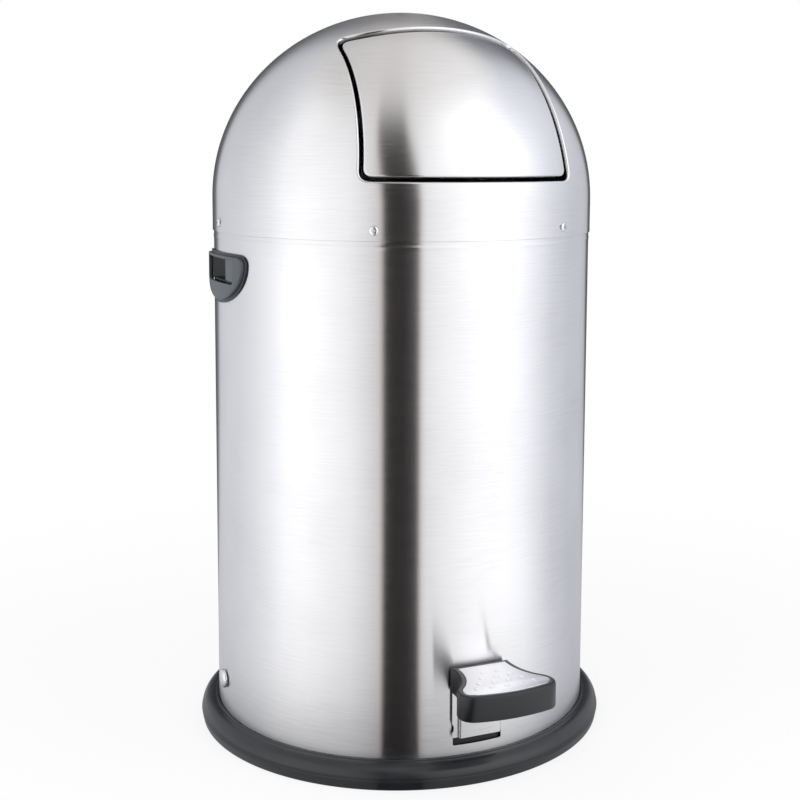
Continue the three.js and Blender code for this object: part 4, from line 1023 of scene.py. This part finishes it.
def make_grip(side, node):
    """Half-moon moulding: a face that swells towards the top round a finger pocket, whose front
    side slopes in gently before it drops."""
    outline, round_off = inset_line(grip_outline(), GRIP_RIM), 1.2
    crest_z = GRIP_MID_Z - GRIP_DROP - 1 + GRIP_SWELL_RISE
    swell_h = GRIP_R - GRIP_BACK_R - GRIP_EDGE_H

    def radius(s, z):
        """The face's radius: an ellipse up to its crest, less a rounded edge."""
        swell = math.sqrt(max(0.0, 1 - (max(crest_z - z, 0) / GRIP_SWELL_RISE) ** 2))
        from_edge = min(distance_to((s, z), outline) / round_off, 1.0)
        fall = 0.7 * (1 - math.sqrt(1 - (1 - from_edge) ** 2))
        return GRIP_BACK_R + GRIP_EDGE_H + swell_h * swell - fall

    mouth, lip, border = grip_mouth(), grip_mouth(1.0), inset_line(outline, round_off)
    grid = [(s, z) for s in [-57 + 2.5 * i for i in range(47)] for z in [424 + 1.6 * k for k in range(31)]]
    grid = [p for p in grid if inside(p, outline) and not inside(p, lip)
            and min(distance_to(p, loop) for loop in (outline, lip, border)) > 0.7]
    flat, faces, (rim, hole, _, _) = net(
        grid, [outline, mouth, border, lip], lambda p: inside(p, outline) and not inside(p, mouth))
    corners = [on_side(s, z, radius(s, z)) for s, z in flat]
    add_rows(corners, faces, rim, [[on_side(s, z, GRIP_BACK_R + 0.2) for s, z in outline]])
    add_rows(corners, faces, hole,
             [[on_side(s, z, radius(s, z) - d) for s, z in mouth] for d in (0.6, 2.5)])
    placed = [(side * x, side * y, z) for x, y, z in corners]
    skin = outward_skin("grip", placed, faces, side)
    # The slope's outline from above: distance from the grip's middle, and depth under its face.
    slope = ((POCKET_HALF_W + 0.4, 0.2), (34, 0.7), (26, 1.7), (18, 3.1), (13, 4.4), (12, 5.4),
             (11.6, 9.0), (POCKET_HALF_W + 0.2, 9.0))
    run = [on_side(-side * s, 0, GRIP_R - 0.9 - d)[:2] for s, d in slope]
    levels = [[(side * x, side * y, z) for x, y in run] for z in (POCKET_LOW_Z + 2.6, POCKET_HIGH_Z + 0.4)]
    slope_solid = outward_solid("slope", *stacked(levels))
    return dressed("moulded_" + node, together([skin, slope_solid]), "body", GREY_PP,
                   [node], sharp=28)


def make_grip_shade_flange(side, node):
    """Painted shade: the dark border round the moulding's face, drawn as a flange in black."""
    outer, bevel, thick = grip_outline(), 0.8, 1.7
    inner = inset_line(outer, GRIP_RIM + 0.8)
    section = ((outer, 0), (outer, 1.1), (inset_line(outer, bevel), thick), (inner, thick), (inner, 0))
    rows = [[on_side(s, z, GRIP_BACK_R + out) for s, z in line] for line, out in section]
    corners, faces = list(rows[0]), []
    first = list(range(len(outer)))
    last = add_rows(corners, faces, first, rows[1:])
    faces += quads(last, first)
    mesh = outward_solid("rim", [(side * x, side * y, z) for x, y, z in corners], faces)
    return dressed("flange_" + node, mesh, "body", BLACK_ABS_AND_SHADE, sharp=28)


def make_grip_shade_liner(side, node):
    """Painted shade: a black liner inside the finger pocket, seen through the mouth, for the shadow deep in
    the pocket.
    """
    splay = (POCKET_HALF_W - POCKET_BACK_HALF_W) / (GRIP_R - POCKET_BACK_R)
    mouth, front_r = grip_mouth(), GRIP_R - 4.4
    middle, tall = (POCKET_LOW_Z + POCKET_HIGH_Z) / 2, (POCKET_HIGH_Z - POCKET_LOW_Z) / 2
    # Each pair is a depth along X, and how far the liner's corner rounds it in there.
    section = ((GRIP_R - 5.6, 0.0), (GRIP_R - 9, 0.0), (POCKET_BACK_R + 2.5, 0.3),
               (POCKET_BACK_R + 0.8, 0.9), (POCKET_BACK_R, 2.6))
    rows = []
    for x, pinch in section:
        wide = (POCKET_HALF_W - splay * (GRIP_R - x) - pinch) / POCKET_HALF_W
        high = (tall - pinch) / tall
        rows.append([(min(x, math.sqrt(front_r ** 2 - s * s)), s * wide, middle + (z - middle) * high)
                     for s, z in mouth])
    corners, faces = list(rows[0]), []
    faces.append(add_rows(corners, faces, range(len(mouth)), rows[1:]))
    placed = [(side * x, side * y, z) for x, y, z in corners]
    mesh = outward_skin("pocket", placed, faces, side)
    return dressed("pocket_" + node, mesh, "body", BLACK_ABS_AND_SHADE, sharp=28)


def inset_line(loop, margin):
    """A closed line drawn in by a margin. The loop runs anticlockwise."""
    out = []
    for i, p in enumerate(loop):
        a, b = Vector(loop[i - 1]), Vector(loop[(i + 1) % len(loop)])
        along = (b - a).normalized()
        out.append((p[0] - along.y * margin, p[1] + along.x * margin))
    return out


def outward_skin(name, corners, faces, side):
    """Gives an open moulding a wall on its inner side. side is 1 where it faces right."""
    mesh = placed_mesh(name, corners, faces)
    work = bmesh.new()
    work.from_mesh(mesh)
    bmesh.ops.recalc_face_normals(work, faces=work.faces)
    middle = max(work.faces, key=lambda f: f.calc_center_median().x * side)
    if middle.normal.x * side < 0:
        bmesh.ops.reverse_faces(work, faces=work.faces)
    bmesh.ops.solidify(work, geom=work.faces, thickness=1.8 * MM)
    bmesh.ops.recalc_face_normals(work, faces=work.faces)
    work.to_mesh(mesh)
    work.free()
    return mesh


# ------------------------------------------------------------------ assembly

make_drum()
make_dome()
make_flap()
make_base_ring()
make_lever()
make_slot_shield()
make_pedal_pad()
make_tread_plate()
make_studs()
make_screws()
for cap_side, cap_node in ((1, "axle_cap_right"), (-1, "axle_cap_left")):
    make_axle_cap(cap_side, cap_node)
for grip_side, grip_node in ((1, "grip_right"), (-1, "grip_left")):
    make_grip(grip_side, grip_node)
    make_grip_shade_flange(grip_side, grip_node)
    make_grip_shade_liner(grip_side, grip_node)

SLOT_FINISH = {"brushed_stainless": STAINLESS, "bright_steel": BRIGHT, "zinc_steel": ZINC,
               "galvanised": GALVANISED, "grey_plastic": GREY_PP, "black_plastic": BLACK_ABS_AND_SHADE,
               "white_plastic": NYLON}
for row in frame["record"]["subparts"]:
    shown = frame["nodes"][row["node"]]
    shown.data.materials.clear()
    shown.data.materials.append(SLOT_FINISH[row["material_slot"]])


# ------------------------------------------------------------------ stage

def emission(tree, colour, strength):
    """A surface that glows by itself."""
    return add(tree, "ShaderNodeEmission", {"Color": colour, "Strength": strength}).outputs[0]


def seen_rays(tree):
    """1 for rays from the camera, from gloss and through glass."""
    rays = add(tree, "ShaderNodeLightPath").outputs
    one = add(tree, "ShaderNodeMath", {0: rays["Is Camera Ray"], 1: rays["Is Glossy Ray"]}, operation="ADD")
    both = add(tree, "ShaderNodeMath", {0: one.outputs[0], 1: rays["Is Transmission Ray"]},
               operation="ADD", use_clamp=True)
    return both.outputs[0]


def make_floor():
    """A pale floor that shows nearly white and keeps a soft shadow."""
    material, tree = blank_material("pale_studio_floor")
    matt = add(tree, "ShaderNodeBsdfDiffuse", {"Color": linear("#F2F2F2")})
    glow = emission(tree, linear("#FFFFFF"), 1.0)
    away = add(tree, "ShaderNodeVectorMath", {0: from_axis(tree)}, operation="LENGTH")
    bare = ramp(tree, away.outputs["Value"], (0.3, 0.82), (0.95, 1.0))
    part = add(tree, "ShaderNodeMath", {0: seen_rays(tree), 1: bare}, operation="MULTIPLY")
    both = add(tree, "ShaderNodeMixShader", {0: part.outputs[0], 1: matt.outputs[0], 2: glow})
    add(tree, "ShaderNodeOutputMaterial", {"Surface": both.outputs[0]})
    mesh = bpy.data.meshes.new("floor")
    reach = 30.0
    loop = [(x * reach, y * reach, 0) for x, y in ((-1, -1), (1, -1), (1, 1), (-1, 1))]
    mesh.from_pydata(loop, [], [[0, 1, 2, 3]])
    mesh.materials.append(material)
    floor = bpy.data.objects.new("floor", mesh)
    bpy.context.scene.collection.objects.link(floor)


def make_world():
    """Soft white light from all round, and a white background."""
    world = bpy.data.worlds.new("soft_studio")
    bpy.context.scene.world = world
    world.use_nodes = True
    tree = world.node_tree
    tree.nodes.clear()
    room = add(tree, "ShaderNodeBackground", {"Color": linear("#FFFFFF"), "Strength": 0.75})
    white = add(tree, "ShaderNodeBackground", {"Color": linear("#FFFFFF"), "Strength": 1.0})
    both = add(tree, "ShaderNodeMixShader", {0: seen_rays(tree), 1: room.outputs[0], 2: white.outputs[0]})
    add(tree, "ShaderNodeOutputWorld", {"Surface": both.outputs[0]})


VIEW_TURN = math.radians(22.5)  # the camera stands this far to the left of the front
# Brightness of the reflected studio against the direction: degrees from the camera's side,
# first to the left and then to the right. The dark gap is where the camera stands.
TENT_LEFT = ((0, 0.02), (10.2, 0.025), (11.8, 0.66), (16, 0.7), (21.7, 0.79), (31, 0.92), (41, 0.99),
             (51, 1.05), (61, 1.1), (72.6, 1.06), (84, 0.89), (97.6, 0.75), (113, 0.655),
             (132, 0.59), (144, 0.52), (150, 0.14), (158, 0.08))
TENT_RIGHT = ((10.2, 0.025), (11.6, 0.7), (15.4, 0.81), (24.8, 0.89), (34.4, 0.95), (44.2, 1.03),
              (54.4, 1.06), (65, 1.07), (76.4, 1.0), (88.6, 0.83), (102.4, 0.65), (118.7, 0.55),
              (140, 0.5), (150, 0.42), (155, 0.08))
TENT_STRENGTH = 1.43
TENT_REACH = 5000.0
GAP_LEAN = 14.0  # degrees that the gap leans to the left by on its way up
# Tints of the light: cool from the far sides, warm in the gap.
SIDE_TINT, GAP_TINT, NO_TINT = [0.97, 0.985, 1.05, 1.0], [1.1, 0.98, 0.95, 1.0], [1.0] * 4
TINTS = ((-150, SIDE_TINT), (-60, NO_TINT), (-16, NO_TINT), (-12, GAP_TINT), (11, GAP_TINT),
         (14, NO_TINT), (60, NO_TINT), (110, SIDE_TINT))
# The roof from the left to the right, and the heights in degrees between which it comes in.
ROOF = ((0.0, [0.4, 0.385, 0.365, 1.0]), (0.5, [0.67, 0.65, 0.63, 1.0]), (1.0, [0.95, 0.94, 0.93, 1.0]))
ROOF_FROM, ROOF_FULL = 50, 62


def make_tent():
    """A soft box tent seen only in gloss: white walls with a gap where the camera stands."""
    material, tree = blank_material("studio_tent")
    place = add(tree, "ShaderNodeTexCoord").outputs["Object"]
    focus = DRUM_R / 2 * MM  # a drum gathers what it mirrors half its radius behind its face
    eye = Vector((-math.sin(VIEW_TURN) * focus, -math.cos(VIEW_TURN) * focus + AXIS_Y * MM, 0))
    shifted = add(tree, "ShaderNodeVectorMath", {0: place, 1: tuple(eye)}, operation="SUBTRACT")
    turned = add(tree, "ShaderNodeVectorRotate", {"Vector": shifted.outputs[0], "Angle": VIEW_TURN},
                 rotation_type="Z_AXIS")
    axes = add(tree, "ShaderNodeSeparateXYZ", {0: turned.outputs[0]})
    ahead = add(tree, "ShaderNodeMath", {0: axes.outputs[1], 1: -1.0}, operation="MULTIPLY")
    angle = add(tree, "ShaderNodeMath", {0: axes.outputs[0], 1: ahead.outputs[0]}, operation="ARCTAN2")
    along = add(tree, "ShaderNodeVectorMath", {0: turned.outputs[0]}, operation="NORMALIZE")
    way = add(tree, "ShaderNodeSeparateXYZ", {0: along.outputs[0]})
    lift = way.outputs[2]
    square = add(tree, "ShaderNodeMath", {0: lift, 1: lift}, operation="MULTIPLY")
    leaning = add(tree, "ShaderNodeMath",
                  {0: square.outputs[0], 1: math.radians(GAP_LEAN), 2: angle.outputs[0]},
                  operation="MULTIPLY_ADD")
    share = add(tree, "ShaderNodeMath", {0: leaning.outputs[0], 1: 1 / TAU, 2: 0.5},
                operation="MULTIPLY_ADD")
    stops = [(-a, v) for a, v in reversed(TENT_LEFT)] + list(TENT_RIGHT)
    band = ramp(tree, share.outputs[0], *[(0.5 + a / 360, v) for a, v in stops])
    tint = ramp(tree, share.outputs[0], *[(0.5 + a / 360, v) for a, v in TINTS])
    # The floor is darker close to the bin: a painted shadow of the bin, seen in reflections. The distances
    # are in metres, and all from 1 m on counts as 1 m.
    away = add(tree, "ShaderNodeVectorMath", {0: turned.outputs[0]}, operation="LENGTH")
    ground = ramp(tree, away.outputs["Value"],
                  (0.2, 0.4), (0.3, 0.76), (0.5, 0.9), (1.0, 0.97), (1.0, 1.0))
    walls = add(tree, "ShaderNodeVectorMath", {0: band, 1: tint}, operation="MULTIPLY")
    walls = add(tree, "ShaderNodeVectorMath", {0: walls.outputs[0], 1: ground}, operation="MULTIPLY")
    # Higher up, the right wall is brighter and the left wall is darker.
    side_way = add(tree, "ShaderNodeMath", {0: way.outputs[0], 1: lift, 2: 0.5}, operation="MULTIPLY_ADD")
    uneven = ramp(tree, side_way.outputs[0],
                  (0.1, 0.86), (0.35, 0.97), (0.5, 1.0), (0.65, 1.05), (0.9, 1.3))
    walls = add(tree, "ShaderNodeVectorMath", {0: walls.outputs[0], 1: uneven}, operation="MULTIPLY")
    roof = ramp(tree, lift, (math.sin(math.radians(ROOF_FROM)), 0.0),
                (math.sin(math.radians(ROOF_FULL)), 1.0))
    sideways = add(tree, "ShaderNodeMath", {0: way.outputs[0], 1: 0.5, 2: 0.5}, operation="MULTIPLY_ADD")
    roof_tone = ramp(tree, sideways.outputs[0], *ROOF)
    over = add(tree, "ShaderNodeVectorMath", {0: roof_tone, 1: roof}, operation="MULTIPLY")
    rest = add(tree, "ShaderNodeMath", {0: 1.0, 1: roof}, operation="SUBTRACT")
    tone = add(tree, "ShaderNodeVectorMath",
               {0: walls.outputs[0], 1: rest.outputs[0], 2: over.outputs[0]}, operation="MULTIPLY_ADD")
    add(tree, "ShaderNodeOutputMaterial", {"Surface": emission(tree, tone.outputs[0], TENT_STRENGTH)})
    material.cycles.emission_sampling = "NONE"
    # A flat floor just over the real one, then the quarter circle up to the crown.
    profile = [(1.0, 1.0)] + arc(0, 1.0, TENT_REACH, 0, 85, 17) + [(0, TENT_REACH)]
    mesh = placed_mesh("tent", *lathe(profile, 96, closed=False))
    mesh.materials.append(material)
    tent = bpy.data.objects.new("studio_tent", mesh)
    bpy.context.scene.collection.objects.link(tent)
    for kind in ("camera", "diffuse", "shadow", "transmission", "volume_scatter"):
        setattr(tent, "visible_" + kind, False)


def make_lamp(name, azimuth, elevation, power, distance=2.6, size=1.6):
    """A soft area lamp aimed at the middle of the drum. It stays out of reflections. azimuth is
    degrees from the front to the right, distance and size are metres."""
    lamp = bpy.data.lights.new(name, "AREA")
    lamp.shape, lamp.size, lamp.energy = "SQUARE", size, power
    holder = bpy.data.objects.new(name, lamp)
    a, e = math.radians(azimuth), math.radians(elevation)
    back = Vector((math.sin(a) * math.cos(e), -math.cos(a) * math.cos(e), math.sin(e)))
    holder.location = Vector((0, AXIS_Y * MM, 0.35)) + back * distance
    holder.rotation_mode = "QUATERNION"
    holder.rotation_quaternion = back.to_track_quat("Z", "Y")
    holder.visible_glossy = False
    bpy.context.scene.collection.objects.link(holder)


LENS, SHIFT_X, SHIFT_Y = 62.11, -0.06, -0.12  # for a frame 36 mm wide, shifts as shares of it
PITCH, ROLL, YAW = 6.605, 0.431, 1.933  # degrees down, anticlockwise and to the right
CAMERA_BACK, CAMERA_UP = 1.376, 0.5742  # metres from the drum's axis, and from the floor


def make_camera():
    """The photograph's camera: a long lens, slightly above the drum's middle and to its left."""
    data = bpy.data.cameras.new("camera")
    data.sensor_width, data.lens = 36.0, LENS
    data.shift_x, data.shift_y = SHIFT_X, SHIFT_Y
    pitch, roll, yaw = math.radians(PITCH), math.radians(ROLL), math.radians(YAW)
    right = Vector((math.cos(yaw), -math.sin(yaw), 0))
    ahead = Vector((math.sin(yaw), math.cos(yaw), 0))
    up = Vector((0, 0, 1))
    look = ahead * math.cos(pitch) - up * math.sin(pitch)
    over = up * math.cos(pitch) + ahead * math.sin(pitch)
    side = right * math.cos(roll) + over * math.sin(roll)
    over = over * math.cos(roll) - right * math.sin(roll)
    turn = Matrix.Rotation(-VIEW_TURN, 3, "Z")
    axes = [turn @ v for v in (side, over, -look)]
    matrix = Matrix([[v[i] for v in axes] for i in range(3)]).to_4x4()
    spot = turn @ Vector((0, -CAMERA_BACK, CAMERA_UP))
    matrix.translation = spot + Vector((0, AXIS_Y * MM, 0))
    camera = bpy.data.objects.new("camera", data)
    camera.matrix_world = matrix
    bpy.context.scene.collection.objects.link(camera)
    bpy.context.scene.camera = camera


make_floor()
make_world()
make_tent()
make_lamp("lamp_left", azimuth=-75, elevation=35, power=22)
make_lamp("lamp_right", azimuth=40, elevation=40, power=18)
make_camera()
bpy.context.scene.view_settings.view_transform = "Standard"
